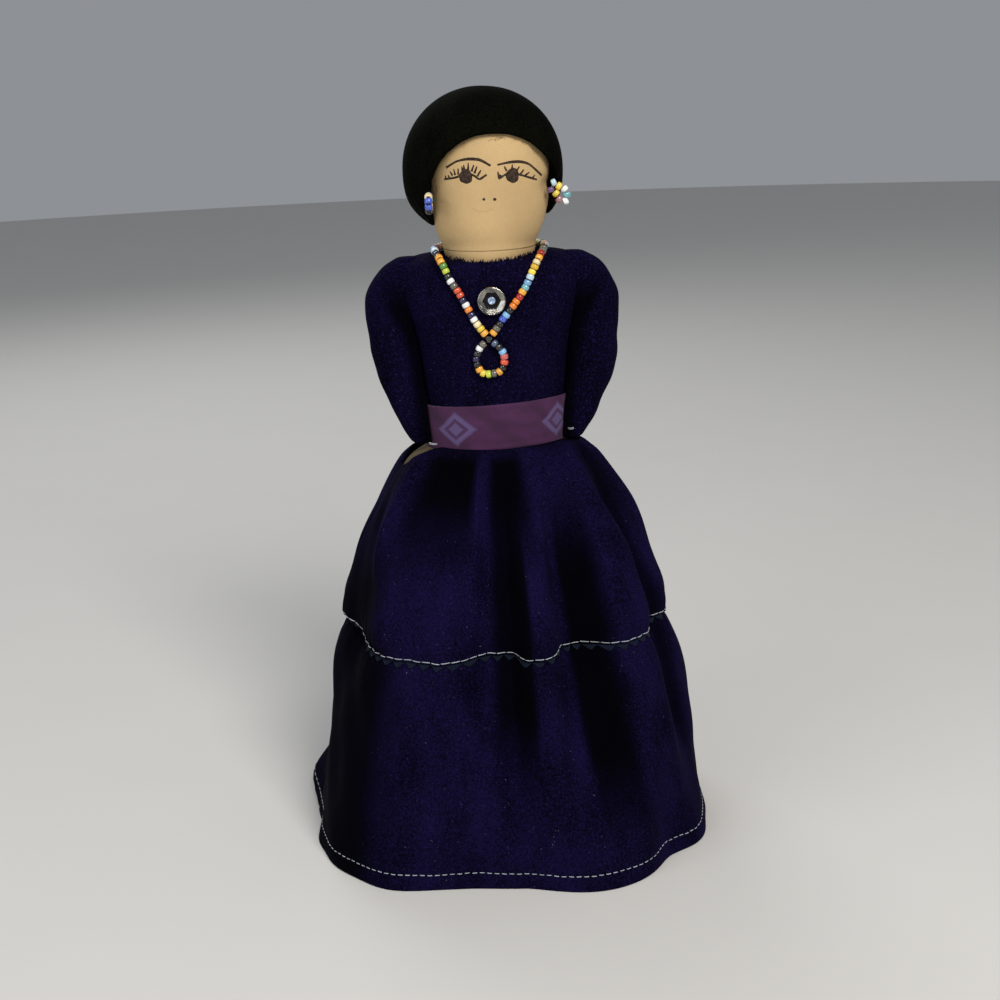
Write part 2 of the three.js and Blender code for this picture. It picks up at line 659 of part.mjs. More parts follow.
addPiece('under_body_cover', cover(underBody).subtract(legRoom()), MUSLIN);
addPiece('under_body_stuffing', filling(underBody).subtract(legRoom()), STUFFING);

// Legs: round top in the hip socket, taper to the ankle, foot forward with a flat sole
function legForm(side) {
  const top = HIP_PIVOT_HEIGHT + LEG_WIDTH / 2;
  const height = top - SOLE_CLEARANCE;
  const instep = 0.06;
  const ankle = 0.2;
  const thigh = 1 - LEG_WIDTH / height;
  const pivot = 1 - LEG_WIDTH / 2 / height;
  const capLevels = [0.5, 0.8, 0.95].map((share) => pivot + share * (1 - pivot));
  return {
    bottom: SOLE_CLEARANCE,
    top,
    open: '',
    steps: LEG_STEPS,
    levels: [0, instep, (instep + ankle) / 2, ankle, (ankle + thigh) / 2, thigh, pivot, ...capLevels],
    outline: (share) => {
      const aboveFoot = THREE.MathUtils.smoothstep(share, instep, ankle);
      const aboveAnkle = THREE.MathUtils.smoothstep(share, ankle, thigh);
      const lowWide = THREE.MathUtils.lerp(FOOT_WIDTH, ANKLE_WIDTH, aboveFoot);
      const lowDeep = THREE.MathUtils.lerp(FOOT_LENGTH, ANKLE_WIDTH, aboveFoot);
      const cap = share > pivot ? dome((share - pivot) / (1 - pivot), 2) : 1;
      return {
        x: (side * LEG_SPACING) / 2,
        y: -FOOT_FORWARD * (1 - aboveFoot),
        wide: (cap * THREE.MathUtils.lerp(lowWide, LEG_WIDTH, aboveAnkle)) / 2,
        deep: (cap * THREE.MathUtils.lerp(lowDeep, LEG_WIDTH, aboveAnkle)) / 2,
      };
    },
  };
}

for (const [name, side] of [['right', -1], ['left', 1]]) {
  const leg = legForm(side);
  const fillHole = bar(LEG_FILL_HOLE, LEG_WIDTH / 2, (side * LEG_SPACING) / 2, 0, leg.top);
  addPiece(`${name}_leg_cover`, cover(leg).subtract(fillHole), MUSLIN);
  addPiece(`${name}_leg_stuffing`, filling(leg), STUFFING);
}

// Head: narrow at the chin, full at the cheeks, round crown
function headHalf(share, chinSize, fullSize) {
  if (share > HEAD_FULLEST) {
    return (fullSize / 2) * dome((share - HEAD_FULLEST) / (1 - HEAD_FULLEST), CROWN_FULLNESS);
  }
  const rise = Math.sin((share / HEAD_FULLEST) * (Math.PI / 2)) ** CHEEK_FULLNESS;
  return THREE.MathUtils.lerp(chinSize, fullSize, rise) / 2;
}
const head = {
  bottom: CHIN_Z,
  top: CROWN_Z,
  open: '',
  steps: BODY_STEPS,
  levels: [0, 0.08, 0.22, 0.5, 0.66, 0.8, 0.9, 0.96, 0.99],
  outline: (share) => ({
    x: 0,
    y: 0,
    wide: headHalf(share, CHIN_WIDTH, HEAD_WIDTH),
    deep: headHalf(share, CHIN_DEPTH, HEAD_DEPTH),
  }),
};
addPiece('head_cover', cover(head).subtract(neckRoom()), MUSLIN);
addPiece('head_stuffing', filling(head).subtract(neckRoom()), STUFFING);

// Hair: a padded velvet cap, thick at the sides, open at the face under an arched hairline
const hair = {
  bottom: CROWN_Z + HAIR_THICKNESS - HAIR_DROP,
  top: CROWN_Z + HAIR_THICKNESS,
  open: '',
  steps: BODY_STEPS,
  levels: [0.02, 0.1, 0.22, 0.36, 0.5, 0.64, 0.78, 0.9, 0.98],
  outline: (share) => {
    const swell = dome(Math.abs(2 * share - 1), 2);
    return {
      x: HAIR_SIDE_SHIFT,
      y: HAIR_BACK_SHIFT,
      wide: (HAIR_WIDTH / 2) * swell,
      deep: (HAIR_DEPTH / 2) * swell,
    };
  },
};

function faceOpening() {
  const arch = new THREE.Shape();
  const half = FACE_OPENING_WIDTH / 2;
  const springZ = CROWN_Z - HAIRLINE_DROP - FACE_OPENING_ARCH;
  const middle = FACE_OPENING_SHIFT;
  arch.moveTo(middle - half, springZ - THROUGH);
  arch.lineTo(middle + half, springZ - THROUGH);
  arch.lineTo(middle + half, springZ);
  arch.absellipse(middle, springZ, half, FACE_OPENING_ARCH, 0, Math.PI, false, 0);
  arch.closePath();
  const options = { depth: THROUGH, bevelEnabled: false, curveSegments: ARCH_STEPS };
  const opening = new THREE.ExtrudeGeometry(arch, options);
  return toSolid(opening.rotateX(Math.PI / 2).translate(0, FACE_OPENING_BACK, 0));
}

addPiece('hair_cap', stuffed(hair, 0).subtract(stuffed(head, GAP)).subtract(faceOpening()), HAIR_VELVET);

// Rings of a string of beads: a groove between beads and a full ring on each
function beadRings(length) {
  const count = Math.max(1, Math.round(length / BEAD_PITCH));
  const rings = [];
  for (let ring = 0; ring <= count * BEAD_RINGS; ring++) {
    const radius = ring % BEAD_RINGS ? BEAD / 2 : BEAD_GROOVE / 2;
    rings.push([ring / (count * BEAD_RINGS), radius]);
  }
  return rings;
}

function beadString(points) {
  const curve = new THREE.CatmullRomCurve3(points);
  return strand(curve, beadRings(curve.getLength()));
}

// Necklace: points as [x, drop below the shoulder top], lying on the front of the bodice
const KNOT_PLACE = [-1.9, 34.4];
const LEFT_STRAND = [[19.8, 3], [15.1, 12.3], [10.9, 18.5], [5, 25.5], [1.3, 30.6], [-0.55, 32.8]];
const RIGHT_STRAND = [[-20.3, 2.6], [-17.3, 9.2], [-14.4, 13.5], [-10.4, 21], [-7.2, 27], [-3.1, 32.7]];
const FRONT_LOOP = [[-0.4, 35.7], [2.7, 38.5], [4.7, 43], [2.7, 48.7], [-1.2, 49.6], [-5.5, 49.2],
  [-7.9, 43.4], [-5.9, 38], [-3.5, 35.8]];
const OVER_SHOULDER = [[22.2, -19.3, 0.8], [23.6, -13.5, 2.3], [24, -9.4, 2.4]];
const NAPE = [[24, -8.6, 2.4], [24.6, 0, 2.05], [22.5, 10, 2.05], [17.5, 18, 2.05], [10, 23.4, 1.4]];
const NAPE_MIDDLE = [0, 25, 0.6];

function onChest([x, drop]) {
  const z = SHOULDER_Z - drop;
  return new THREE.Vector3(x, frontOf(bodice, x, z, BEAD_OFFSET), z);
}

function overShoulder(side) {
  return ([x, y, up]) => new THREE.Vector3(side * x, y, SHOULDER_Z + up);
}

function frontStrand(side, chestPoints) {
  const shoulder = OVER_SHOULDER.map(overShoulder(side)).reverse();
  return beadString([...shoulder, ...chestPoints.map(onChest)]);
}

const napeLeft = NAPE.map(overShoulder(1));
const napeRight = NAPE.map(overShoulder(-1)).reverse();
const napeMiddle = overShoulder(1)(NAPE_MIDDLE);
const knot = onChest(KNOT_PLACE);
addPiece('necklace_left_strand', frontStrand(1, LEFT_STRAND), BEAD_GLASS);
addPiece('necklace_right_strand', frontStrand(-1, RIGHT_STRAND), BEAD_GLASS);
addPiece('necklace_nape_strand', beadString([...napeLeft, napeMiddle, ...napeRight]), BEAD_GLASS);
addPiece('necklace_loop', beadString(FRONT_LOOP.map(onChest)), BEAD_GLASS);
addPiece('necklace_tie', ball(KNOT, knot.x, knot.y, knot.z, SMALL_STEPS), WHITE_THREAD);

// Earrings: rings of beads that hang in front of the hair, one edge on and one face on
const EARRING_RADIUS = (EARRING_BEADS * BEAD_PITCH) / TURN;

function beadRing(centre, across, down) {
  const out = new THREE.Vector3().crossVectors(across, down);
  const section = [];
  for (let corner = 0; corner <= BEAD_STEPS; corner++) {
    const tilt = ((corner % BEAD_STEPS) / BEAD_STEPS) * TURN;
    section.push(new THREE.Vector2(Math.cos(tilt), Math.sin(tilt)));
  }
  return revolve(section, EARRING_BEADS * BEAD_RINGS, (angle, outward, sideways) => {
    const ring = Math.round((angle / TURN) * EARRING_BEADS * BEAD_RINGS);
    const bead = ring % BEAD_RINGS ? BEAD / 2 : BEAD_GROOVE / 2;
    const reach = EARRING_RADIUS + bead * outward;
    return centre.clone()
      .addScaledVector(across, reach * Math.sin(angle))
      .addScaledVector(down, reach * Math.cos(angle))
      .addScaledVector(out, -bead * sideways);
  });
}

// Ring at x and a drop below the crown, moved forward until its beads just clear the hair and the face
function makeEarring(x, drop, across) {
  const z = CROWN_Z - drop;
  let y = FACE_OPENING_BACK - BEAD_OFFSET;
  for (let step = 0; step < 2 * EARRING_BEADS; step++) {
    const angle = (step / (2 * EARRING_BEADS)) * TURN;
    const sideways = EARRING_RADIUS * Math.sin(angle);
    const beadX = x + across.x * sideways;
    const beadZ = z - EARRING_RADIUS * Math.cos(angle);
    for (let lean = -1; lean <= 1; lean += LEAN_STEP) {
      const behindX = beadX + lean * BEAD_OFFSET;
      const isBesideFace = Math.abs(behindX - FACE_OPENING_SHIFT) > FACE_OPENING_WIDTH / 2;
      const front = frontOf(isBesideFace ? hair : head, behindX, beadZ);
      y = Math.min(y, front - BEAD_OFFSET * Math.sqrt(1 - lean ** 2) - across.y * sideways);
    }
  }
  return beadRing(new THREE.Vector3(x, y, z), across, new THREE.Vector3(0, 0, -1));
}

const edgeOn = new THREE.Vector3(0, -1, 0);
const faceOn = new THREE.Vector3(1, 0, 0);
addPiece('right_earring', makeEarring(RIGHT_EARRING_X, RIGHT_EARRING_DROP, edgeOn), BEAD_GLASS);
addPiece('left_earring', makeEarring(LEFT_EARRING_X, LEFT_EARRING_DROP, faceOn), BEAD_GLASS);

export default doll;
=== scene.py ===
"""A standing cloth doll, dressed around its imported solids: padded cloth, velvet, beads and a button."""

import math
import random

import bmesh
import bpy
import numpy as np
from bpy.props import FloatProperty, FloatVectorProperty, IntProperty, PointerProperty
from bpy.types import NodeSocket, Operator, Panel, PropertyGroup
from mathutils import Matrix, Vector
from mathutils.bvhtree import BVHTree


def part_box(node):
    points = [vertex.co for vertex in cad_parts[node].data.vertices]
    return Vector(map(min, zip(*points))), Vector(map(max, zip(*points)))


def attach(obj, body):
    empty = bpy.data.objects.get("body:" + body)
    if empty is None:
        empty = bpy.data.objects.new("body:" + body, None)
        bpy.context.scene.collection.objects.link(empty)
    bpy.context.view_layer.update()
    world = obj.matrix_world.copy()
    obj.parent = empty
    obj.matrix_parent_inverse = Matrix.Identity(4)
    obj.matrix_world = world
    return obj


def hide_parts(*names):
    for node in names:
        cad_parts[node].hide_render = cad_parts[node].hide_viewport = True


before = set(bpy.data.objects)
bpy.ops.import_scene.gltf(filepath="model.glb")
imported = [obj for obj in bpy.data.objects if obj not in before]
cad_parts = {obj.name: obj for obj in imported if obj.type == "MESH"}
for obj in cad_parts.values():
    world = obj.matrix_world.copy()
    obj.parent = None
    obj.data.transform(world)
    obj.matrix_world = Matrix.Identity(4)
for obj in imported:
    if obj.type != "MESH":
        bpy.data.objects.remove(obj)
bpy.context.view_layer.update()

bl_info = {
    "name": "Cloth Doll",
    "version": (1, 0, 0),
    "blender": (4, 5, 0),
    "location": "View3D > Sidebar > Cloth Doll",
    "description": "Makes a standing cloth doll with a velvet dress, a bead necklace and a metal button",
    "category": "Object",
}

MM = 0.001
TURN = 2 * math.pi

# Levels up the doll, in millimetres, as its solids have them
TIER_Z = 101.0
SKIRT_TOP_Z = 183.7
WAIST_Z = 184.0
BODICE_BOTTOM_Z = 182.5
SHOULDER_Z = 268.0
CHIN_Z = 272.0
CROWN_Z = 334.0
BUTTON_Z = 250.0

# Layers of the skirt at the tier seam, out from its mean surface
LOWER_TIER = (-1.4, 0.0)
BRAID_LAYER = (0.25, 1.05)
UPPER_TIER = (1.3, 2.7)

# Half width and half depth of the skirt at the waist, the tier seam and the hem
WAIST_HALF = np.array([30.3, 22.3])
TIER_HALF = np.array([70.5, 65.5])
HEM_HALF = np.array([91.5, 83.5])

# Ridges and valleys of the skirt below the waist, at the tier seam and at the hem: degrees round from the front,
# and millimetres out
WAIST_FOLDS = [
    (-100, 1.5), (-82, -2), (-57, 3.2), (-40, -5), (-22, -6), (-11, 2.6), (2, -6), (18, 2.8), (36, 0.2),
    (52, 1.6), (69, -3.6), (88, 1.8), (104, -1.8), (120, 2.4), (140, -2.6), (160, 2.6), (180, -2.8),
    (200, 2.6), (220, -2.6), (238, 2.4), (250, -1.8),
]
TIER_FOLDS = [
    (-92, 3.2), (-68, 0.5), (-27, 8.5), (-6, -6), (1.5, -7), (9.5, 5.5), (22, -6.5), (30, -6.5), (51, 6),
    (66, -5), (84, 4), (101, -4.5), (118, 4), (133, -5), (148, 3.5), (163, -4.5), (178, 5), (193, -6),
    (208, 4), (223, -4.5), (238, 4.5), (253, -4.5),
]
HEM_FOLDS = [
    (-100, 1.5), (-80, 1.5), (-62, 4.5), (-42, 6), (-10, 0), (2, -0.5), (25, 8.5), (47, 0), (62, 2.5),
    (82, 1.5), (104, -2), (130, 4), (158, -2), (182, 1.9), (205, -2), (230, 4), (248, -1.5),
]

# Sharpness of the folds
THIN_RIDGES, THIN_VALLEYS = 0.45, 2.0

# Hem: the height at which its rounded edge rests on the floor, and its flap at the doll's right, in degrees round
# from the front and millimetres up and out
HEM_Z = 0.55
FLAP_TURN = -103
FLAP_RISE, FLAP_REACH = 8.0, 10.5

# Grids of the skirt and the sash, and what is sewn on them: a stitch has shares along it, and its rise and taper
# in half threads
PANEL_COLUMNS, UPPER_ROWS, LOWER_ROWS = 220, 64, 72
EDGE_ROUNDING = 0.4
BRAID_STEPS = 14
BRAID_ROUNDNESS = 0.88
STITCH = [(0, -0.9, 0.6), (0.13, 0.15, 0.95), (0.32, 0.55, 1), (0.5, 0.6, 1), (0.68, 0.55, 1), (0.87, 0.15, 0.95),
          (1, -0.9, 0.6)]
SASH_COLUMNS, SASH_ROWS = 260, 22
SASH_THICKNESS = 0.75
PRINT_REPEATS = 4.225

# Bodice and sleeves: share of the height, half width, half depth; a sleeve's taper is a share of its half sizes, a
# wrist's tack has its x and height, and a fibre of the neckline its shares along, half width and half thickness
BODICE_FORM = [(0, 31, 23), (0.58, 36.5, 24.7), (0.9, 44, 23.8), (0.965, 41.5, 23.2), (1, 37, 22.2)]
SHOULDER_HALF = (36, 21.4)
SLEEVE_TAPER = [(0, 0.28), (0.09, 0.49), (0.18, 0.62), (0.36, 0.87), (0.63, 0.99), (0.82, 1.04), (0.91, 0.86),
                (0.96, 0.64), (1, 0.34)]
SLEEVE_HALF = (10.2, 11.7)
SLEEVE_BOTTOM_Z, SLEEVE_LENGTH = 184.6, 83.2
SLEEVE_COLUMNS = 40
RIGHT_TACK, LEFT_TACK = (27.2, 184.5), (31.0, 188.8)
FIBRE = [(0, 0.22, 0.16), (0.35, 0.18, 0.13), (0.7, 0.12, 0.09), (1, 0.04, 0.03)]

# Hips and legs under the skirt
HIP_FORM = [(0, 36, 26), (0.42, 43, 31), (0.76, 40.5, 30), (0.9, 36, 27), (1, 30, 22)]
HIP_BOTTOM_Z, HIP_HEIGHT = 150, 32.2
HIP_COLUMNS = 56
LEG_X, LEG_BOTTOM_Z, LEG_HEIGHT = 18, 2, 161.0
THIGH, ANKLE = 26, 19
SOCKET_RADIUS = 13.6

# Neck: a ball that the head and the bodice fit round
NECK_RADIUS = 20.4
NECK_HOLE_RADIUS = NECK_RADIUS + 0.5
HOLLOW_RADIUS = NECK_RADIUS + 0.2
HOLLOW_ROOF = (2.2, 5.6, 9.0, 11.8)
HOLLOW_ROOF_Z = CHIN_Z + 16.3

# Head, with the rim under its chin, and the cap of hair: reach and fullness above and below its middle
CHIN_WIDTH, HEAD_WIDTH, HEAD_DEPTH = 42, 56, 52
RIM_RADIUS, RIM_TOP_Z = 20.75, CHIN_Z + 12
HAIR_CENTRE = (-1.5, 2.5, 304)
HAIR_HALF = (35.2, 32.8)
HAIR_RISE, HAIR_FALL = (35.3, 2.05), (27, 2.8)
FACE_ARCH_CENTRE, FACE_ARCH_HALF = (3, 293.5), (28, 26)

# Drawn face: each stroke is a list of places on the front of the head, x and height in millimetres, each spot its
# middle and half sizes, and a spot's form its reach and lift off the cloth from the edge in
BROWS = [
    [(-16.8, 306.4), (-14.1, 308.0), (-11.9, 309.0), (-8.1, 309.7), (-4.4, 309.6), (-1.8, 308.9), (1.9, 306.7)],
    [(4.8, 306.9), (8.3, 307.5), (12.0, 307.8), (15.3, 307.5), (18.0, 306.5), (20.4, 304.5), (23.7, 301.1)],
]
LIDS = [
    [(-18.0, 301.5), (-15.0, 301.9), (-12.2, 302.5), (-10.6, 303.6)],
    [(-6.3, 303.5), (-4.7, 302.5), (-2.9, 301.3), (-1.0, 302.4), (0.1, 303.1)],
    [(5.1, 301.1), (6.4, 301.9), (8.3, 302.9)],
    [(13.7, 302.5), (15.6, 301.8), (18.3, 300.8), (21.5, 299.6)],
]
LASHES = [
    [(-17.2, 301.6), (-17.5, 303.1)], [(-15.6, 301.9), (-16.3, 303.3)], [(-14.3, 303.0), (-15.4, 304.8)],
    [(-13.2, 303.2), (-13.7, 305.7)], [(-11.9, 303.4), (-11.8, 306.0)], [(-10.0, 304.7), (-10.2, 306.8)],
    [(-9.2, 305.0), (-9.4, 307.4)], [(-7.6, 305.0), (-7.4, 308.2)], [(-6.2, 304.6), (-5.1, 307.3)],
    [(-5.0, 303.8), (-3.8, 306.7)], [(-3.8, 302.6), (-2.2, 305.1)], [(-2.6, 301.5), (0.0, 303.0)],
    [(5.3, 301.2), (4.9, 304.1)], [(6.2, 302.0), (4.6, 303.4)], [(8.6, 304.2), (7.7, 306.2)],
    [(10.9, 304.5), (11.1, 306.8)], [(12.8, 303.9), (14.1, 305.7)], [(14.3, 302.4), (16.0, 304.4)],
    [(16.2, 301.7), (18.3, 303.0)], [(19.5, 300.4), (20.7, 301.7)],
]
IRISES = [(-8.7, 302.6, 2.75, 3.0), (11.0, 302.2, 2.75, 3.0)]
NOSTRILS = [(-1.5, 292.9, 0.62, 0.55), (3.1, 292.7, 0.72, 0.6)]
MOUTH = [(-6.1, 289.1), (-4.3, 288.1), (-2.2, 287.8), (0.0, 288.1), (1.4, 289.0)]
MOUTH_CORNERS = [(-6.2, 289.2, 0.5, 0.4), (1.5, 288.7, 0.4, 0.3)]
SPOT_FORM = [(1.0, -0.15), (1.03, 0.03), (0.9, 0.08), (0.6, 0.1), (0.25, 0.1)]
STRAY_HAIRS = [
    [(1.2, 316.6), (2.8, 317.4), (4.9, 317.0), (7.1, 317.7), (8.7, 317.3)],
    [(7.4, 317.9), (5.6, 318.0), (4.2, 317.2), (4.6, 316.2)],
    [(-16.5, 308.2), (-17.2, 306.6), (-16.4, 305.4)],
    [(-21.6, 301.5), (-22.2, 299.0), (-21.4, 296.6), (-21.9, 295.2)],
]

# Necklace: x and drop below the shoulder top, lying on the bodice; over the shoulder: x, y and rise
LEFT_STRAND = [(19.8, 3), (15.1, 12.3), (10.9, 18.5), (5, 25.5), (1.3, 30.6), (-0.55, 32.8)]
RIGHT_STRAND = [(-20.3, 2.6), (-17.3, 9.2), (-14.4, 13.5), (-10.4, 21), (-7.2, 27), (-3.1, 32.7)]
FRONT_LOOP = [(-0.4, 35.7), (2.7, 38.5), (4.7, 43), (2.7, 48.7), (-1.2, 49.6), (-5.5, 49.2), (-7.9, 43.4),
              (-5.9, 38), (-3.5, 35.8)]
OVER_SHOULDER = [(24, -9.4, 2.4), (23.6, -13.5, 2.3), (22.2, -19.3, 0.8)]
NAPE = [(24.1, -7.6, 2.36), (24.6, 0, 2.05), (22.5, 10, 2.05), (17.5, 18, 2.05), (10, 23.4, 1.4), (0, 25, 0.6)]
KNOT_PLACE = (-1.9, 34.4)
BEAD_LIFT = 2.05

# Bead colours, by a maker's names, as red, green, blue
BEAD_COLOURS = {
    "white": (0.82, 0.84, 0.83), "cream": (0.78, 0.66, 0.38), "pale_blue": (0.52, 0.70, 0.82),
    "sky": (0.20, 0.42, 0.68), "teal": (0.16, 0.42, 0.46), "blue": (0.05, 0.10, 0.50), "navy": (0.01, 0.01, 0.05),
    "slate": (0.08, 0.11, 0.20), "black": (0.008, 0.008, 0.009), "smoke": (0.13, 0.12, 0.10),
    "gold": (0.78, 0.36, 0.04), "mustard": (0.62, 0.38, 0.03), "yellow": (0.80, 0.58, 0.06),
    "lime": (0.50, 0.58, 0.05), "green": (0.10, 0.26, 0.04), "orange": (0.82, 0.22, 0.02),
    "coral": (0.62, 0.08, 0.03), "red": (0.36, 0.015, 0.01), "pink": (0.62, 0.14, 0.13),
    "mauve": (0.30, 0.15, 0.17), "purple": (0.13, 0.07, 0.17),
}
LEFT_BEADS = (
    "smoke black smoke smoke red gold cream mustard yellow pale_blue sky teal gold red orange orange black "
    "sky blue black smoke gold").split()
RIGHT_BEADS = (
    "white pale_blue navy black gold gold green lime black white smoke coral coral navy white orange navy "
    "white cream yellow gold cream").split()
LOOP_BEADS = "slate black sky pink coral black gold smoke lime yellow gold black navy black white smoke".split()
NAPE_BEADS = "gold white sky coral cream black teal yellow white orange blue mustard".split()

# Earrings: beads of the left one at x and z from its middle, and of the right one, which stands on edge
ROSETTE = [
    ("pale_blue", -2.1, 4.0), ("yellow", 0.0, 2.5), ("white", 2.4, 1.2), ("teal", 3.4, -1.4),
    ("white", 2.7, -3.8), ("mauve", 0.0, -3.1), ("yellow", -1.3, -0.6), ("purple", -3.6, 1.0),
]
EDGE_RING = "blue blue cream white teal yellow white black".split()
EDGE_RING_RADIUS = 3.06
RIGHT_EARRING = (-24.9, -23.53, 292)
LEFT_EARRING = (30.9, -13.58, 293.9)

# Form of a bead: the radius of its hole, and how square its section is
BEAD_COLUMNS, BEAD_ROWS = 16, 12
BEAD_HOLE = 0.5
BEAD_BLUNTNESS = 2.7

# Button: up from its back and out from its axis, the radii between which its six facets lie, and the reach and the
# levels of its hollow, which is painted near black as shade
BUTTON_RIM = [(0.2, 3.0), (0.0, 5.9), (0.25, 6.2), (0.8, 6.35), (1.4, 6.34), (1.9, 6.2), (2.25, 5.98),
              (2.39, 5.75)]
BUTTON_WELL = [(1.1, 4.05), (0.5, 3.9), (0.4, 3.65)]
BUTTON_DOME = [(0.35, 1.6), (0.65, 1.7), (1.0, 1.65), (1.25, 1.45), (1.3, 1.2), (1.2, 0.95), (0.95, 0.75),
               (0.8, 0.55), (0.9, 0.3)]
FACET_OUTER, FACET_INNER = 5.6, 4.15
HOLLOW_REACH, HOLLOW_LOW, HOLLOW_HIGH = 4.1, 0.35, 1.14
BUTTON_COLUMNS = 96

# Stuffing: cloth is simulated larger than life, for so many frames
SIM_SCALE = 10.0
SIM_FRAMES = 20

# Stage, in metres and degrees: each lamp has its name, place, size, power and colour
LAMPS = [
    ("key", (0.50, -1.18, 1.20), 0.6, 23.5, (1.0, 0.965, 0.91)),
    ("fill", (-1.1, -0.95, 0.7), 1.1, 8.0, (0.98, 0.99, 1.0)),
    ("back", (-0.5, 1.2, 1.2), 0.8, 7.0, (1.0, 1.0, 1.0)),
]
LAMP_AIM = (0, 0, 0.17)
SKY_COLOUR = (0.90, 0.94, 1.0, 1.0)
SKY_STRENGTH = 0.30
CAMERA_PLACE = (0, -0.670, 0.342)
CAMERA_LENS = 54
CAMERA_DOWN, CAMERA_ROLL = 15.7, -2.4

# Floor: rings out from the doll, in millimetres
FLOOR_RINGS = (100, 600, 4000)
FLOOR_COLUMNS = 96


class DollSizes(PropertyGroup):
    """Sizes that change how the doll is dressed."""

    fold_depth: FloatProperty(
        name="Fold depth", description="Depth of the skirt's folds, as a share of the drawn ones", default=1.0,
        min=0.0, max=1.5, subtype="FACTOR")
    nap: FloatProperty(
        name="Nap", description="Depth of the velvet's pile in its finish", default=0.00018, min=0.0,
        unit="LENGTH")
    stitch: FloatProperty(
        name="Stitch", description="Pitch of the hem's topstitching", default=0.0033, min=0.001, unit="LENGTH")
    tier_stitch: FloatProperty(
        name="Tier stitch", description="Pitch of the tier seam's topstitching", default=0.0046, min=0.001,
        unit="LENGTH")
    thread: FloatProperty(
        name="Thread", description="Thickness of the sewing thread", default=0.0004, min=0.0002, unit="LENGTH")
    braid_points: IntProperty(
        name="Braid points", description="Points round the zigzag braid", default=78, min=20, max=120)
    bead: FloatProperty(
        name="Bead", description="Outer diameter of a bead", default=0.0035, min=0.001, unit="LENGTH")
    bead_pitch: FloatProperty(
        name="Bead pitch", description="Length of a bead along its thread", default=0.0024, min=0.001,
        unit="LENGTH")
    sash_width: FloatProperty(
        name="Sash width", description="Height of the ribbon round the waist",
        default=round(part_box("sash")[1].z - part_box("sash")[0].z, 4), min=0.005, unit="LENGTH")
    fray: IntProperty(
        name="Frayed fibres", description="Loose fibres along the neckline", default=420, min=0, max=2000)
    swell: FloatProperty(
        name="Swell", description="Most that stuffing may push a cover out", default=0.0016, min=0.0,
        unit="LENGTH")


class DollColours(PropertyGroup):
    """Colours of the doll's cloth, thread, ink and metal, and of the floor."""

    muslin: FloatVectorProperty(
        name="Muslin", description="Cloth of the head and neck", default=(0.505, 0.35, 0.172), subtype="COLOR")
    # Painted shade: the hips and legs are the head's tan muslin, painted dark for the shade under the skirt and
    # sleeves.
    shaded_hip_cloth: FloatVectorProperty(
        name="Lining", description="Cloth of the hips and legs", default=(0.07, 0.052, 0.021), subtype="COLOR")
    velvet: FloatVectorProperty(
        name="Dress velvet", description="Pile of the dress", default=(0.0033, 0.0021, 0.0158), subtype="COLOR")
    hair: FloatVectorProperty(
        name="Hair velvet", description="Pile of the hair cap", default=(0.0014, 0.0015, 0.0008), subtype="COLOR")
    sash: FloatVectorProperty(
        name="Sash", description="Ground of the ribbon", default=(0.049, 0.0098, 0.049), subtype="COLOR")
    sash_print: FloatVectorProperty(
        name="Sash print", description="Lozenges on the ribbon", default=(0.105, 0.072, 0.19), subtype="COLOR")
    braid: FloatVectorProperty(
        name="Braid", description="Zigzag braid", default=(0.004, 0.0078, 0.020), subtype="COLOR")
    thread: FloatVectorProperty(
        name="Thread", description="White sewing thread", default=(0.42, 0.465, 0.50), subtype="COLOR")
    ink: FloatVectorProperty(
        name="Ink", description="Lines of the drawn face", default=(0.022, 0.014, 0.010), subtype="COLOR")
    metal: FloatVectorProperty(
        name="Button metal", description="Plating of the button", default=(0.30, 0.29, 0.26), subtype="COLOR")
    floor: FloatVectorProperty(
        name="Floor", description="Pale floor", default=(0.62, 0.61, 0.59), subtype="COLOR")


def smoothstep(value, low, high):
    """0 below low, 1 above high, and smooth between."""
    share = np.clip((np.asarray(value, float) - low) / (high - low), 0, 1)
    return share * share * (3 - 2 * share)


def through(stations):
    """Smooth curve through (share, value) stations."""
    shares, values = np.array(stations, float).T
    slopes = np.gradient(values, shares)

    def curve(share):
        share = np.clip(np.asarray(share, float), 0, 1)
        at = np.clip(np.searchsorted(shares, share) - 1, 0, len(shares) - 2)
        span = shares[at + 1] - shares[at]
        t = (share - shares[at]) / span
        start = (1 + 2 * t) * (1 - t) ** 2 * values[at] + t * (1 - t) ** 2 * span * slopes[at]
        return start + t * t * (3 - 2 * t) * values[at + 1] + t * t * (t - 1) * span * slopes[at + 1]

    return curve


def dome(share, fullness):
    """Rounded end: 1 at its start and 0 at its tip."""
    return np.maximum(0, 1 - np.clip(share, 0, 1) ** fullness) ** (1 / fullness)


def bell(*distances):
    """1 in the middle, falling away smoothly with each distance."""
    return np.exp(-sum(distance ** 2 for distance in distances))


def turns(count):
    """Angles all the way round, from the front."""
    return np.arange(count) / count * TURN


def lengths_along(points):
    """Length of a line up to each of its points."""
    return np.concatenate([[0], np.cumsum(np.linalg.norm(np.diff(points, axis=0), axis=1))])


def spline(points, count):
    """Evenly spaced places along a smooth line through points, and its length."""
    points = np.array(points, float)
    padded = np.vstack([2 * points[0] - points[1], points, 2 * points[-1] - points[-2]])
    t = np.linspace(0, 1, 40, endpoint=False)[:, None]
    fine = []
    for i in range(1, len(padded) - 2):
        a, b, c, d = padded[i - 1:i + 3]
        fine.append(0.5 * (2 * b + (c - a) * t + (2 * a - 5 * b + 4 * c - d) * t ** 2
                           + (3 * b - a - 3 * c + d) * t ** 3))
    fine = np.vstack(fine + [points[-1:]])
    lengths = lengths_along(fine)
    at = np.linspace(0, lengths[-1], count)
    return np.stack([np.interp(at, lengths, fine[:, k]) for k in range(points.shape[1])], axis=1), lengths[-1]


def unit(vectors):
    """Vectors of length 1."""
    return vectors / np.maximum(np.linalg.norm(vectors, axis=-1, keepdims=True), 1e-12)


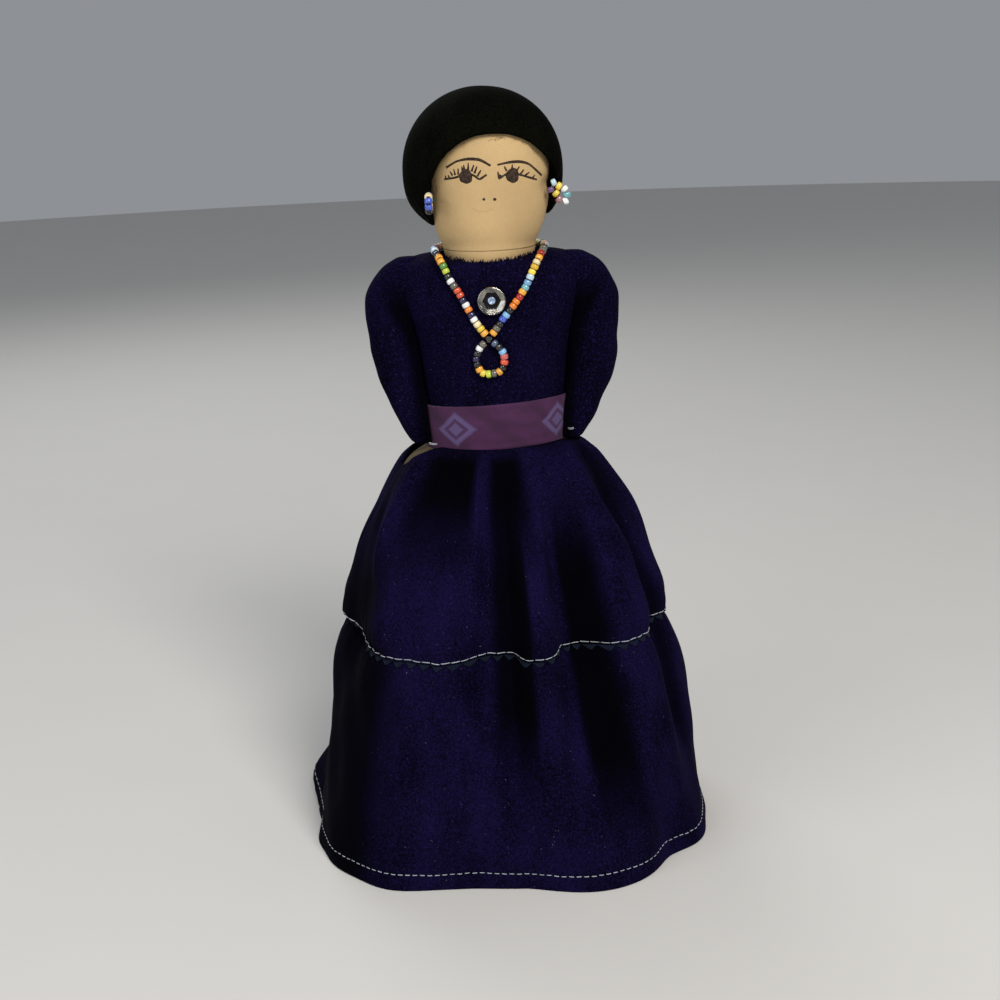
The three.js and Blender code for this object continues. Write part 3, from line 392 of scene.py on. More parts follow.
def grid_faces(rows, columns, closed, looped=False):
    """Quads of a grid whose columns may join up, and whose last row may join the first."""
    faces = []
    for row in range(rows if looped else rows - 1):
        here, above = row * columns, (row + 1) % rows * columns
        for column in range(columns if closed else columns - 1):
            beside = (column + 1) % columns
            faces.append((here + column, here + beside, above + beside, above + column))
    return faces


class Heap:
    """Points and faces gathered into one mesh, with a colour for each point."""

    def __init__(self):
        self.points, self.faces, self.colours, self.count = [], [], [], 0

    def add(self, points, faces, colour=(1, 1, 1)):
        """Puts one more form on the heap."""
        points = np.asarray(points, float).reshape(-1, 3)
        self.points.append(points)
        self.faces += [tuple(corner + self.count for corner in face) for face in faces]
        self.colours.append(np.tile(np.array([*colour, 1.0]), (len(points), 1)))
        self.count += len(points)

    def make(self, name, finish, colours=False):
        """One object from all that was gathered; points are in millimetres."""
        obj = add_mesh(name, np.vstack(self.points), self.faces, finish)
        if colours:
            layer = obj.data.color_attributes.new("bead_colour", "FLOAT_COLOR", "POINT")
            layer.data.foreach_set("color", np.vstack(self.colours).astype(np.float32).ravel())
        return obj


def add_mesh(name, points, faces, finish):
    """Smooth object from points in millimetres, with its faces turned outward."""
    mesh = bpy.data.meshes.new(name)
    mesh.from_pydata((np.asarray(points, float).reshape(-1, 3) * MM).tolist(), [], faces)
    turned = bmesh.new()
    turned.from_mesh(mesh)
    bmesh.ops.recalc_face_normals(turned, faces=turned.faces)
    turned.to_mesh(mesh)
    turned.free()
    mesh.polygons.foreach_set("use_smooth", np.full(len(mesh.polygons), True))
    mesh.materials.append(finish)
    obj = bpy.data.objects.new(name, mesh)
    bpy.context.scene.collection.objects.link(obj)
    return obj


def apply_modifiers(obj):
    """Keeps what the modifiers show as the object's own mesh."""
    bpy.context.view_layer.update()
    shown = obj.evaluated_get(bpy.context.evaluated_depsgraph_get())
    kept = bpy.data.meshes.new_from_object(shown)
    obj.modifiers.clear()
    obj.data = kept


def subdivide(obj):
    """Rounds a mesh by one subdivision."""
    obj.modifiers.new("rounding", "SUBSURF").levels = 1
    apply_modifiers(obj)


def coordinates(obj):
    """Places of a mesh's points, in millimetres."""
    flat = np.zeros(len(obj.data.vertices) * 3, np.float32)
    obj.data.vertices.foreach_get("co", flat)
    return flat.reshape(-1, 3).astype(float) / MM


def move_points(obj, points):
    """Puts a mesh's points at new places, in millimetres."""
    obj.data.vertices.foreach_set("co", (points * MM).astype(np.float32).ravel())
    obj.data.update()


def set_painted_shade(obj, pile):
    """Notes at each point the velvet's painted shade, in the pile attribute: 1 where unshaded, less where painted
    darker.
    """
    layer = obj.data.attributes.new("pile", "FLOAT", "POINT")
    layer.data.foreach_set("value", pile.astype(np.float32).ravel())


def stuff(obj, hold, cap, pressure):
    """Swells a sewn cover as stuffing does: cloth under pressure, held where hold is 1, moved by cap at most."""
    start = coordinates(obj)
    obj.data.transform(Matrix.Scale(SIM_SCALE, 4))
    group = obj.vertex_groups.new(name="hold")
    for index, weight in enumerate(np.clip(hold(start), 0, 1)):
        if weight > 0:
            group.add([index], float(weight), "REPLACE")
    modifier = obj.modifiers.new("stuffing", "CLOTH")
    settings = modifier.settings
    settings.quality = 5
    settings.mass = 0.3
    settings.tension_stiffness = 8
    settings.compression_stiffness = 8
    settings.shear_stiffness = 3
    settings.bending_stiffness = 0.4
    settings.use_pressure = True
    settings.uniform_pressure_force = pressure
    settings.effector_weights.gravity = 0
    settings.vertex_group_mass = group.name
    modifier.point_cache.frame_end = SIM_FRAMES
    for step in range(1, SIM_FRAMES + 1):
        bpy.context.scene.frame_set(step)
    apply_modifiers(obj)
    obj.vertex_groups.clear()
    bpy.context.scene.frame_set(1)
    obj.data.transform(Matrix.Scale(1 / SIM_SCALE, 4))
    move = coordinates(obj) - start
    length = np.linalg.norm(move, axis=1, keepdims=True)
    move_points(obj, start + move * np.minimum(1, cap / MM / np.maximum(length, 1e-9)))


def loft(rows):
    """Closed form from rings of points, with a point at each end. Returns points and faces."""
    rows = np.asarray(rows, float)
    count, columns = rows.shape[:2]
    points = np.vstack([rows.reshape(-1, 3), rows[0].mean(0), rows[-1].mean(0)])
    faces = grid_faces(count, columns, True)
    first, last = count * columns, count * columns + 1
    for column in range(columns):
        beside = (column + 1) % columns
        faces.append((first, beside, column))
        faces.append((last, (count - 1) * columns + column, (count - 1) * columns + beside))
    return points, faces


def ring(x, y, z, wide, deep, columns):
    """Ring of points round an upright axis, the first at the front."""
    angle = turns(columns)
    return np.stack([x + wide * np.sin(angle), y - deep * np.cos(angle), np.full(columns, z, float)], axis=1)


def sweep(path, normals, wide, high, sides=8):
    """Closed tube of oval section along a path, as points and faces; wide lies along the surface, high off it."""
    path, normals = np.asarray(path, float), unit(np.asarray(normals, float))
    along = unit(np.gradient(path, axis=0))
    side = unit(np.cross(along, normals))
    over = np.cross(side, along)
    wide = np.broadcast_to(wide, len(path))[:, None, None]
    high = np.broadcast_to(high, len(path))[:, None, None]
    angle = turns(sides)
    rings = path[:, None] + wide * np.cos(angle)[None, :, None] * side[:, None]
    return loft(rings + high * np.sin(angle)[None, :, None] * over[:, None])


def steady_normals(path):
    """A normal at each place of a path that turns as little as the path lets it."""
    normals = []
    normal = np.array([0.3, -0.8, 0.5])
    for direction in unit(np.gradient(np.asarray(path, float), axis=0)):
        normal = normal - direction * normal.dot(direction)
        normal /= np.linalg.norm(normal)
        normals.append(normal)
    return np.array(normals)


def shell(outer, inner):
    """Closed sheet between two grids of points, with rounded top and bottom edges. Returns points and faces."""
    outer, inner = np.asarray(outer, float), np.asarray(inner, float)
    rows, columns = outer.shape[:2]
    thick = np.linalg.norm(outer - inner, axis=2)[:, :, None]
    top = (outer[0] + inner[0]) / 2 + unit(outer[0] - outer[1]) * thick[0] * EDGE_ROUNDING
    bottom = (outer[-1] + inner[-1]) / 2 + unit(outer[-1] - outer[-2]) * thick[-1] * EDGE_ROUNDING
    section = np.concatenate([top[None], outer, bottom[None], inner[::-1]])
    count = len(section)
    faces = grid_faces(count, columns, False, True)
    for column in (0, columns - 1):
        at = [row * columns + column for row in range(count)]
        faces.append((at[0], at[1], at[-1]))
        faces.append((at[rows + 1], at[rows], at[rows + 2]))
        for row in range(1, rows):
            faces.append((at[row], at[row + 1], at[count - row - 1], at[count - row]))
    return section.reshape(-1, 3), faces


class Finish:
    """A finish built from procedural nodes, in the doll's own metres."""

    def __init__(self, name):
        self.material = bpy.data.materials.new(name)
        self.material.use_nodes = True
        self.tree = self.material.node_tree
        self.shader = self.tree.nodes["Principled BSDF"]
        self.place = self.add("ShaderNodeTexCoord").outputs["Object"]

    def feed(self, socket, value):
        """Links a socket into another one, or sets it to a value."""
        if isinstance(value, NodeSocket):
            self.tree.links.new(value, socket)
        else:
            socket.default_value = value

    def add(self, kind, inputs=None, **settings):
        """New node with its inputs and settings."""
        node = self.tree.nodes.new(kind)
        for name, value in settings.items():
            setattr(node, name, value)
        for key, value in (inputs or {}).items():
            self.feed(node.inputs[key], value)
        return node

    def noise(self, scale, detail=2.0, place=None, rough=0.5):
        """Cloudy pattern from 0 to 1."""
        inputs = {"Vector": place or self.place, "Scale": scale, "Detail": detail, "Roughness": rough}
        return self.add("ShaderNodeTexNoise", inputs).outputs["Fac"]

    def calc(self, operation, first, second=0.0):
        """Result of a sum on one or two values."""
        return self.add("ShaderNodeMath", {0: first, 1: second}, operation=operation).outputs[0]

    def blend(self, first, first_share, second, second_share):
        """Two values, each times its share, added up."""
        parts = (self.calc("MULTIPLY", first, first_share), self.calc("MULTIPLY", second, second_share))
        return self.calc("ADD", *parts)

    def remap(self, value, low, high, start=0.0, end=1.0):
        """Value that runs from start to end while another runs from low to high."""
        inputs = {"Value": value, "From Min": low, "From Max": high, "To Min": start, "To Max": end}
        return self.add("ShaderNodeMapRange", inputs).outputs["Result"]

    def mix(self, share, first, second):
        """Colour between two colours."""
        colours = [value if isinstance(value, NodeSocket) else (*value, 1.0) for value in (first, second)]
        node = self.add("ShaderNodeMix", {0: share, 6: colours[0], 7: colours[1]}, data_type="RGBA")
        return node.outputs[2]

    def stretch(self, scale):
        """Place on the doll, scaled along each axis."""
        node = self.add("ShaderNodeMapping", {"Vector": self.place, "Scale": scale})
        return node.outputs["Vector"]

    def bump(self, height, depth, strength=1.0):
        """Fine relief on the surface."""
        node = self.add("ShaderNodeBump", {"Height": height, "Distance": depth, "Strength": strength})
        self.feed(self.shader.inputs["Normal"], node.outputs["Normal"])

    def set(self, **values):
        """Sets or links the shader's own inputs, by their names in lower case."""
        for name, value in values.items():
            self.feed(self.shader.inputs[name.replace("_", " ").title().replace("Ior", "IOR")], value)


def shade(colour, times):
    """A colour made lighter or darker."""
    return tuple(min(1.0, part * times) for part in colour)


def velvet_finish(name, colour, nap, lint, grain, with_painted_shade=False):
    """Short-pile velvet: patches of lighter and darker pile, a speckled nap, loose lint, random specks painted
    lighter as the pile's glints, and painted shade where the pile attribute is low.
    """
    finish = Finish(name)
    patch = finish.noise(55, 3.0, finish.stretch((1, 1, 0.45)))
    pile = finish.noise(1000, 4.0, rough=0.7)
    fibre = finish.noise(2600, 2.0)
    tone = finish.blend(patch, 0.38, pile, 0.62)
    body = finish.mix(finish.remap(tone, 0.40, 0.60), shade(colour, 0.25), shade(colour, 1.9))
    # Painted highlight: random specks six times lighter stand in for the glints of the pile; grain sets how
    # strongly they show.
    glint = finish.remap(finish.noise(1250, 2.0, rough=0.6), 0.56, 0.70)
    body = finish.mix(finish.calc("MULTIPLY", glint, grain), body, shade(colour, 6))
    speck = finish.calc("MULTIPLY", finish.remap(finish.noise(1300, 0.0), 0.83, 0.85),
                        finish.remap(finish.noise(90, 1.0), 0.45, 0.62))
    body = finish.mix(finish.calc("MULTIPLY", speck, lint), body, (0.20, 0.20, 0.29))
    # Painted shade: a low pile attribute darkens the colour towards near black on the folds' shaded sides, inside
    # the skirt, on its side away from the key lamp and where the sleeves lie on the bodice.
    if with_painted_shade:
        painted_shade_share = finish.add("ShaderNodeAttribute", attribute_name="pile").outputs["Fac"]
        body = finish.mix(finish.remap(painted_shade_share, 0.0, 1.0), shade(colour, 0.05), body)
    finish.set(base_color=body, roughness=0.95, sheen_weight=0.025, sheen_roughness=0.35, specular_ior_level=0.03)
    finish.shader.inputs["Sheen Tint"].default_value = (*shade(colour, 14), 1.0)
    finish.bump(finish.blend(pile, 0.7, fibre, 0.3), nap, 0.6)
    return finish.material


def wrap_place(finish, radius):
    """Distance round an upright piece and height, for a weave that follows the cloth."""
    split = finish.add("ShaderNodeSeparateXYZ", {0: finish.place})
    behind = finish.calc("MULTIPLY", split.outputs["Y"], -1.0)
    around = finish.calc("MULTIPLY", finish.calc("ARCTAN2", split.outputs["X"], behind), radius)
    return finish.add("ShaderNodeCombineXYZ", {0: around, 2: split.outputs["Z"]}).outputs[0]


def weave_height(finish, place, pitch):
    """Plain weave: threads over and under, as a height."""
    split = finish.add("ShaderNodeSeparateXYZ", {0: place})
    phases = [finish.calc("MULTIPLY", split.outputs[axis], math.pi / pitch) for axis in ("X", "Z")]
    across, up = (finish.calc("SINE", phase) for phase in phases)
    return finish.calc("MULTIPLY", across, up)


def muslin_finish(name, colour, radius, soiled=1.0):
    """Plain-weave muslin: fine threads, slubs and faint handling marks."""
    finish = Finish(name)
    place = wrap_place(finish, radius)
    weave = weave_height(finish, place, 0.00042)
    slub = finish.noise(700, 2.0, finish.stretch((1, 1, 0.12)))
    blotch = finish.noise(38, 4.0)
    grain = finish.noise(1500, 3.0)
    tone = finish.blend(blotch, 0.65 * soiled, grain, 0.35)
    body = finish.mix(finish.remap(tone, 0.3, 0.66), shade(colour, 0.86), shade(colour, 1.1))
    body = finish.mix(finish.remap(slub, 0.62, 0.8, 0.0, 0.35), body, shade(colour, 1.2))
    body = finish.mix(finish.remap(weave, -1.0, 1.0, 0.0, 0.14), body, shade(colour, 0.6))
    finish.set(base_color=body, roughness=0.88, sheen_weight=0.03, sheen_roughness=0.5, specular_ior_level=0.15)
    height = finish.blend(weave, 0.35, slub, 0.6)
    finish.bump(height, 0.00022, 0.7)
    return finish.material


def thread_finish(name, colour):
    """Twisted sewing thread, a little soiled."""
    finish = Finish(name)
    twist = finish.noise(1800, 2.0, finish.stretch((1, 1, 2.5)))
    soil = finish.noise(160, 2.0)
    body = finish.mix(finish.remap(soil, 0.35, 0.7), colour, shade(colour, 0.55))
    body = finish.mix(finish.remap(twist, 0.4, 0.7, 0.0, 0.4), body, shade(colour, 0.5))
    finish.set(base_color=body, roughness=0.75, sheen_weight=0.15, sheen_roughness=0.5)
    finish.bump(twist, 0.00015)
    return finish.material


def braid_finish(name, colour):
    """Zigzag braid with fine crosswise ribs."""
    finish = Finish(name)
    place = wrap_place(finish, 0.070)
    weave = weave_height(finish, place, 0.00055)
    fuzz = finish.noise(1600, 3.0)
    body = finish.mix(finish.remap(fuzz, 0.3, 0.7), shade(colour, 0.6), shade(colour, 1.5))
    body = finish.mix(finish.remap(weave, -1.0, 1.0, 0.0, 0.35), body, shade(colour, 0.4))
    finish.set(base_color=body, roughness=0.85, sheen_weight=0.02, sheen_roughness=0.5, specular_ior_level=0.1)
    finish.bump(finish.calc("ADD", weave, fuzz), 0.0002)
    return finish.material


def ink_finish(name, colour, uneven=3.2):
    """Ink soaked into cloth, uneven along its strokes."""
    finish = Finish(name)
    spread = finish.noise(900, 3.0)
    body = finish.mix(finish.remap(spread, 0.4, 0.75), colour, shade(colour, uneven))
    finish.set(base_color=body, roughness=0.85, specular_ior_level=0.15)
    finish.bump(finish.noise(2400, 2.0), 0.0001)
    return finish.material


def bead_finish(name):
    """Glossy glass beads, each in its own colour."""
    finish = Finish(name)
    colour = finish.add("ShaderNodeVertexColor", layer_name="bead_colour").outputs["Color"]
    cloud = finish.noise(500, 2.0)
    body = finish.mix(finish.remap(cloud, 0.45, 0.8, 0.0, 0.28), colour, (0.02, 0.018, 0.015))
    finish.set(base_color=body, roughness=finish.remap(finish.noise(900, 2.0), 0.3, 0.7, 0.12, 0.3),
               coat_weight=0.5, coat_roughness=0.06, subsurface_weight=0.0)
    finish.bump(finish.noise(700, 1.0), 0.00008)
    return finish.material


def metal_finish(name, colour, rough, metallic=1.0):
    """Worn plating with hairline scratches; the button's hollow is darker only through the near-black colour given
    it as painted shade.
    """
    finish = Finish(name)
    scratch = finish.noise(1500, 3.0, finish.stretch((1, 1, 9)))
    wear = finish.noise(420, 3.0)
    body = finish.mix(finish.remap(wear, 0.35, 0.7), shade(colour, 0.7), shade(colour, 1.35))
    finish.set(base_color=body, metallic=metallic, roughness=finish.remap(scratch, 0.3, 0.75, rough, rough + 0.2))
    finish.bump(scratch, 0.00004)
    return finish.material


def sash_finish(name, ground, motif):
    """Printed cotton: rows of soft lozenges and broken bands on a mottled ground."""
    finish = Finish(name)
    along = finish.add("ShaderNodeUVMap", uv_map="ribbon").outputs["UV"]
    split = finish.add("ShaderNodeSeparateXYZ", {0: along})
    wander = finish.calc("MULTIPLY", finish.noise(2.2, 2.0, along), 0.10)
    u = finish.calc("ADD", split.outputs["X"], wander)
    v = split.outputs["Y"]
    cell = finish.calc("ABSOLUTE", finish.calc("SUBTRACT", finish.calc("FRACT", u), 0.5))
    middle = finish.calc("ABSOLUTE", finish.calc("SUBTRACT", v, 0.5))
    lozenge = finish.blend(cell, 4.6, middle, 2.5)
    inside = finish.remap(lozenge, 1.05, 0.86)
    band = finish.calc("MULTIPLY", finish.remap(lozenge, 0.66, 0.60), finish.remap(lozenge, 0.36, 0.42))
    slant = finish.blend(u, 2.0, v, 0.85)
    wave = finish.calc("SINE", finish.calc("MULTIPLY", finish.calc("ADD", slant, wander), TURN))
    mottle = finish.noise(5, 4.0, along, 0.55)
    body = finish.mix(finish.remap(mottle, 0.3, 0.7), shade(ground, 0.82), shade(ground, 1.22))
    body = finish.mix(finish.remap(wave, 0.35, 0.95, 0.0, 0.5), body, shade(ground, 0.5))
    body = finish.mix(finish.calc("MULTIPLY", inside, 0.8), body, motif)
    body = finish.mix(finish.calc("MULTIPLY", band, 0.8), body, shade(ground, 0.9))
    weave = weave_height(finish, wrap_place(finish, 0.030), 0.00035)
    body = finish.mix(finish.remap(weave, -1.0, 1.0, 0.0, 0.12), body, shade(ground, 0.3))
    finish.set(base_color=body, roughness=0.72, sheen_weight=0.1, sheen_roughness=0.4, specular_ior_level=0.3)
    finish.bump(weave, 0.00012, 0.6)
    return finish.material


def floor_finish(name, colour):
    """Plain pale floor with the faintest mottle."""
    finish = Finish(name)
    mottle = finish.noise(14, 3.0)
    finish.set(base_color=finish.mix(mottle, shade(colour, 0.985), shade(colour, 1.015)), roughness=0.9,
               specular_ior_level=0.1)
    return finish.material


FINISHES = {}


def finish_named(name):
    """One of the doll's finishes, made when it is first asked for."""
    colours, sizes = bpy.context.scene.doll_colours, bpy.context.scene.doll_sizes
    makers = {
        "head_muslin": lambda: muslin_finish(name, tuple(colours.muslin), 0.025),
        # Painted shade: the hips' and legs' muslin is painted dark as the shade under the skirt.
        "shaded_hip_muslin": lambda: muslin_finish(name, tuple(colours.shaded_hip_cloth), 0.036, 1.3),
        # Painted shade: bodice, sleeves and skirt are one dress velvet, painted darker on the bodice and sleeves
        # (0.53 of its colour) than on the skirt (0.9).
        "dress_velvet": lambda: velvet_finish(name, shade(colours.velvet, 0.53), sizes.nap, 0.3, 0.95),
        "sleeve_velvet": lambda: velvet_finish(name, shade(colours.velvet, 0.53), sizes.nap, 0.3, 0.95, True),
        "skirt_velvet": lambda: velvet_finish(name, shade(colours.velvet, 0.9), sizes.nap, 0.35, 0.35, True),
        "hair_velvet": lambda: velvet_finish(name, tuple(colours.hair), sizes.nap, 0.1, 0.15),
        "white_thread": lambda: thread_finish(name, tuple(colours.thread)),
        "bead_thread": lambda: thread_finish(name, (0.06, 0.055, 0.05)),
        "zigzag_braid": lambda: braid_finish(name, tuple(colours.braid)),
        "face_ink": lambda: ink_finish(name, tuple(colours.ink)),
        "lip_ink": lambda: ink_finish(name, (0.44, 0.27, 0.14), 1.15),
        "glass_beads": lambda: bead_finish(name),
        "button_metal": lambda: metal_finish(name, tuple(colours.metal), 0.10),
        # Painted shade: the button's hollow is plated near black.
        "button_shaded_hollow": lambda: metal_finish(name, (0.02, 0.02, 0.022), 0.25),
        # Painted reflection: the dome is tinted a bright pale blue.
        "button_painted_reflection": lambda: metal_finish(name, (0.30, 0.40, 0.56), 0.05, 0.4),
        "printed_cotton": lambda: sash_finish(name, tuple(colours.sash), tuple(colours.sash_print)),
        "pale_floor": lambda: floor_finish(name, tuple(colours.floor)),
    }
    if name not in FINISHES:
        FINISHES[name] = makers[name]()
    return FINISHES[name]


# Forms of the doll, in millimetres

bodice_wide = through([(share, wide) for share, wide, _ in BODICE_FORM])
bodice_deep = through([(share, deep) for share, _, deep in BODICE_FORM])


def bodice_half(z):
    """Half width and half depth of the bodice at a height."""
    share = (np.asarray(z, float) - BODICE_BOTTOM_Z) / (SHOULDER_Z - BODICE_BOTTOM_Z)
    return bodice_wide(share), bodice_deep(share)


def bodice_front(x, z, lift=0.0):
    """y of the bodice's front at x and z, lifted off it."""
    wide, deep = bodice_half(z)
    return -(deep + lift) * np.sqrt(np.maximum(0, 1 - (np.asarray(x) / (wide + lift)) ** 2))


def head_half(z, chin, full):
    """Half size of the head at a height: full at the cheeks, round at the crown."""
    share = np.clip((np.asarray(z, float) - CHIN_Z) / (CROWN_Z - CHIN_Z), 0, 1)
    lower = (chin + (full - chin) * np.sin(np.minimum(share, 0.5) * math.pi) ** 0.62) / 2
    return np.where(share > 0.5, full / 2 * dome((share - 0.5) / 0.5, 2.4), lower)


def head_wide(z):
    """Half width of the head at a height."""
    return head_half(z, CHIN_WIDTH, HEAD_WIDTH)


def head_deep(z):
    """Half depth of the head at a height."""
    return head_half(z, CHIN_WIDTH, HEAD_DEPTH)


def head_shift(z):
    """How far the cheeks and the crown lie over to the doll's left, 1 mm at most."""
    return smoothstep(z, 274, 290)


def head_rows(grow, columns):
    """Rings of the head from chin to crown."""
    shares = np.concatenate([np.linspace(0, 0.5, 18), 0.5 + 0.5 * np.sin(np.linspace(0.06, 1.52, 22))])
    rows = []
    for share in shares:
        z = CHIN_Z + share * (CROWN_Z - CHIN_Z)
        least = RIM_RADIUS if z < RIM_TOP_Z else 0.0
        wide, deep = (max(half(z) + grow, least) for half in (head_wide, head_deep))
        rows.append(ring(head_shift(z), 0, z + grow * (2 * share - 1), wide, deep, columns))
    return rows


def fold_at(folds, degrees, sharpness):
    """Skirt's fold at an angle, in millimetres out; below 1, sharpness thins ridges, and above 1 valleys."""
    angles = np.array([angle for angle, _ in folds] + [folds[0][0] + 360], float)
    depths = np.array([depth for _, depth in folds] + [folds[0][1]], float)
    turned = (np.asarray(degrees, float) - angles[0]) % 360 + angles[0]
    at = np.clip(np.searchsorted(angles, turned, side="right") - 1, 0, len(folds) - 1)
    share = (turned - angles[at]) / (angles[at + 1] - angles[at])
    falling = depths[at + 1] < depths[at]
    from_ridge = smoothstep(np.where(falling, share, 1 - share), 0, 1) ** sharpness
    ridge, valley = np.maximum(depths[at], depths[at + 1]), np.minimum(depths[at], depths[at + 1])
    return ridge + (valley - ridge) * from_ridge


def angle_from(theta, centre):
    """Degrees between an angle and a place round the skirt."""
    return (np.degrees(theta) - centre + 180) % 360 - 180


def tier_edge(theta):
    """Height of the upper tier's lower edge."""
    lift = 4.6 * bell(angle_from(theta, -90) / 24) + 1.5 * bell(angle_from(theta, 88) / 16)
    return TIER_Z + lift + 0.5 * np.sin(3 * theta + 0.6) + 0.4 * np.sin(8 * theta - 1)


def hem_edge(theta):
    """Height of the hem, which flips up a little at the doll's right."""
    return HEM_Z + FLAP_RISE * bell(angle_from(theta, FLAP_TURN) / 8)


def skirt_shares(z):
    """Share of the way from the waist to the tier seam, and from there to the hem."""
    below = np.clip((SKIRT_TOP_Z - z) / (SKIRT_TOP_Z - TIER_Z), 0, 1)
    return below, np.clip((TIER_Z - z) / TIER_Z, 0, 1)


def skirt_fold(theta, z):
    """How far the skirt's folds stand out at angles and heights."""
    below, down = skirt_shares(z)
    turn = np.degrees(theta)
    waist = (fold_at(WAIST_FOLDS, turn, THIN_RIDGES)
             * smoothstep(below, 0, 0.1) * (1 - smoothstep(below, 0.3, 0.75)))
    tier = (fold_at(TIER_FOLDS, turn, THIN_VALLEYS)
            * smoothstep(below, 0.1, 0.6) * (1 - smoothstep(down, 0.15, 0.95)))
    hem = fold_at(HEM_FOLDS, turn, THIN_VALLEYS) * smoothstep(down, 0.2, 0.9)
    return (waist + tier + hem) * bpy.context.scene.doll_sizes.fold_depth


def skirt_points(theta, z, offset):
    """Places on the skirt at angles and heights, off its mean surface by an offset."""
    theta, z = np.broadcast_arrays(np.asarray(theta, float), np.asarray(z, float))
    below, down = skirt_shares(z)
    upper, lower = below ** 0.52, down ** 0.7
    depth = SKIRT_TOP_Z - z
    gather = (0.9 * np.exp(-depth / 10) * (1 - np.exp(-np.maximum(depth, 0) / 2))
              * np.cos(23 * theta + np.sin(5 * theta)))
    seam = np.abs(z - TIER_Z)
    pucker = 0.4 * np.exp(-seam / 6) * np.sin(61 * theta + 2 * np.sin(7 * theta))
    blouse = np.where(z > TIER_Z, 1.6 * bell((z - 113) / 9), 0.5 * bell((z - 84) / 12))
    pinch = -1.3 * bell(seam / 4)
    ripple = (0.7 * np.sin(7 * theta + z / 17) + 0.5 * np.sin(12 * theta - z / 11 + 2)
              + 0.35 * np.sin(19 * theta + z / 7)) * np.clip(depth / 30, 0, 1)
    hem = 0.5 * smoothstep(z, 9, 5) - 0.4 * bell((z - 6.5) / 1.2)
    flap = FLAP_REACH * bell(angle_from(theta, FLAP_TURN) / 7.5) * smoothstep(z, 34, 10)
    out = offset + skirt_fold(theta, z) + gather + pucker + blouse + pinch + ripple + hem + flap
    square = 1 + 0.065 * lower * np.sin(2 * theta) ** 2 * (np.cos(theta) > 0)
    half = [square * np.where(z > TIER_Z, waist + (tier - waist) * upper, tier + (end - tier) * lower)
            for waist, tier, end in zip(WAIST_HALF, TIER_HALF, HEM_HALF)]
    return np.stack([(half[0] + out) * np.sin(theta), -(half[1] + out) * np.cos(theta), z], axis=-1)


def skirt_normals(theta, z, offset):
    """Directions straight off the skirt."""
    turn, rise = 0.004, 0.3
    across = skirt_points(theta + turn, z, offset) - skirt_points(theta - turn, z, offset)
    up = skirt_points(theta, z + rise, offset) - skirt_points(theta, z - rise, offset)
    return unit(np.cross(across, up))


def even_angles(theta, z, offset, pitch):
    """Angles whose places along a line on the skirt are a pitch apart, in millimetres, and their count."""
    lengths = lengths_along(skirt_points(theta, z, offset))
    count = int(round(lengths[-1] / pitch))
    return np.interp(np.linspace(0, lengths[-1], count + 1), lengths, theta), count


def on_chest(points):
    """Places on the bodice's front, from x and drop below the shoulder, lifted by a bead's half size."""
    placed = []
    for x, drop in points:
        z = SHOULDER_Z - drop
        placed.append((x, float(bodice_front(x, z, BEAD_LIFT)), z))
    return placed


def over_shoulder(points, side):
    """Places over a shoulder, from x, y and rise above it."""
    return [(side * x, y, SHOULDER_Z + rise) for x, y, rise in points]


class DollOperator(Operator):
    """Base of the operators that make the stage and the doll's pieces."""

    bl_options = {"REGISTER", "UNDO"}


class DOLL_OT_stage(DollOperator):
    """Pale floor, soft lamps, and the camera at the photograph's angle"""

    bl_idname = "doll.make_stage"
    bl_label = "Stage"

    def execute(self, context):
        scene = context.scene
        scene.view_settings.view_transform = "Standard"
        points, faces = loft([ring(0, 0, 0, reach, reach, FLOOR_COLUMNS) for reach in FLOOR_RINGS])
        below = len(points) - 1
        floor = add_mesh("floor", points[:below], [face for face in faces if below not in face],
                         finish_named("pale_floor"))
        world = scene.world or bpy.data.worlds.new("studio")
        scene.world = world
        world.use_nodes = True
        sky = world.node_tree.nodes["Background"]
        sky.inputs["Color"].default_value = SKY_COLOUR
        sky.inputs["Strength"].default_value = SKY_STRENGTH
        for lamp in LAMPS:
            self.lamp(*lamp)
        camera = bpy.data.objects.new("camera", bpy.data.cameras.new("camera"))
        camera.data.lens = CAMERA_LENS
        camera.data.sensor_width = 36
        camera.data.clip_start = 0.02
        tilt = Matrix.Rotation(math.radians(90 - CAMERA_DOWN), 4, "X")
        roll = Matrix.Rotation(math.radians(CAMERA_ROLL), 4, "Z")
        camera.matrix_world = Matrix.Translation(CAMERA_PLACE) @ (tilt @ roll)
        scene.collection.objects.link(camera)
        scene.camera = camera
        return {"FINISHED"}

    def lamp(self, name, place, size, power, colour):
        """Soft square lamp, aimed at the doll's middle."""
        data = bpy.data.lights.new(name, "AREA")
        data.size = size
        data.energy = power
        data.color = colour
        lamp = bpy.data.objects.new(name, data)
        aim = Vector(LAMP_AIM) - Vector(place)
        lamp.matrix_world = Matrix.Translation(place) @ aim.to_track_quat("-Z", "Y").to_matrix().to_4x4()
        bpy.context.scene.collection.objects.link(lamp)


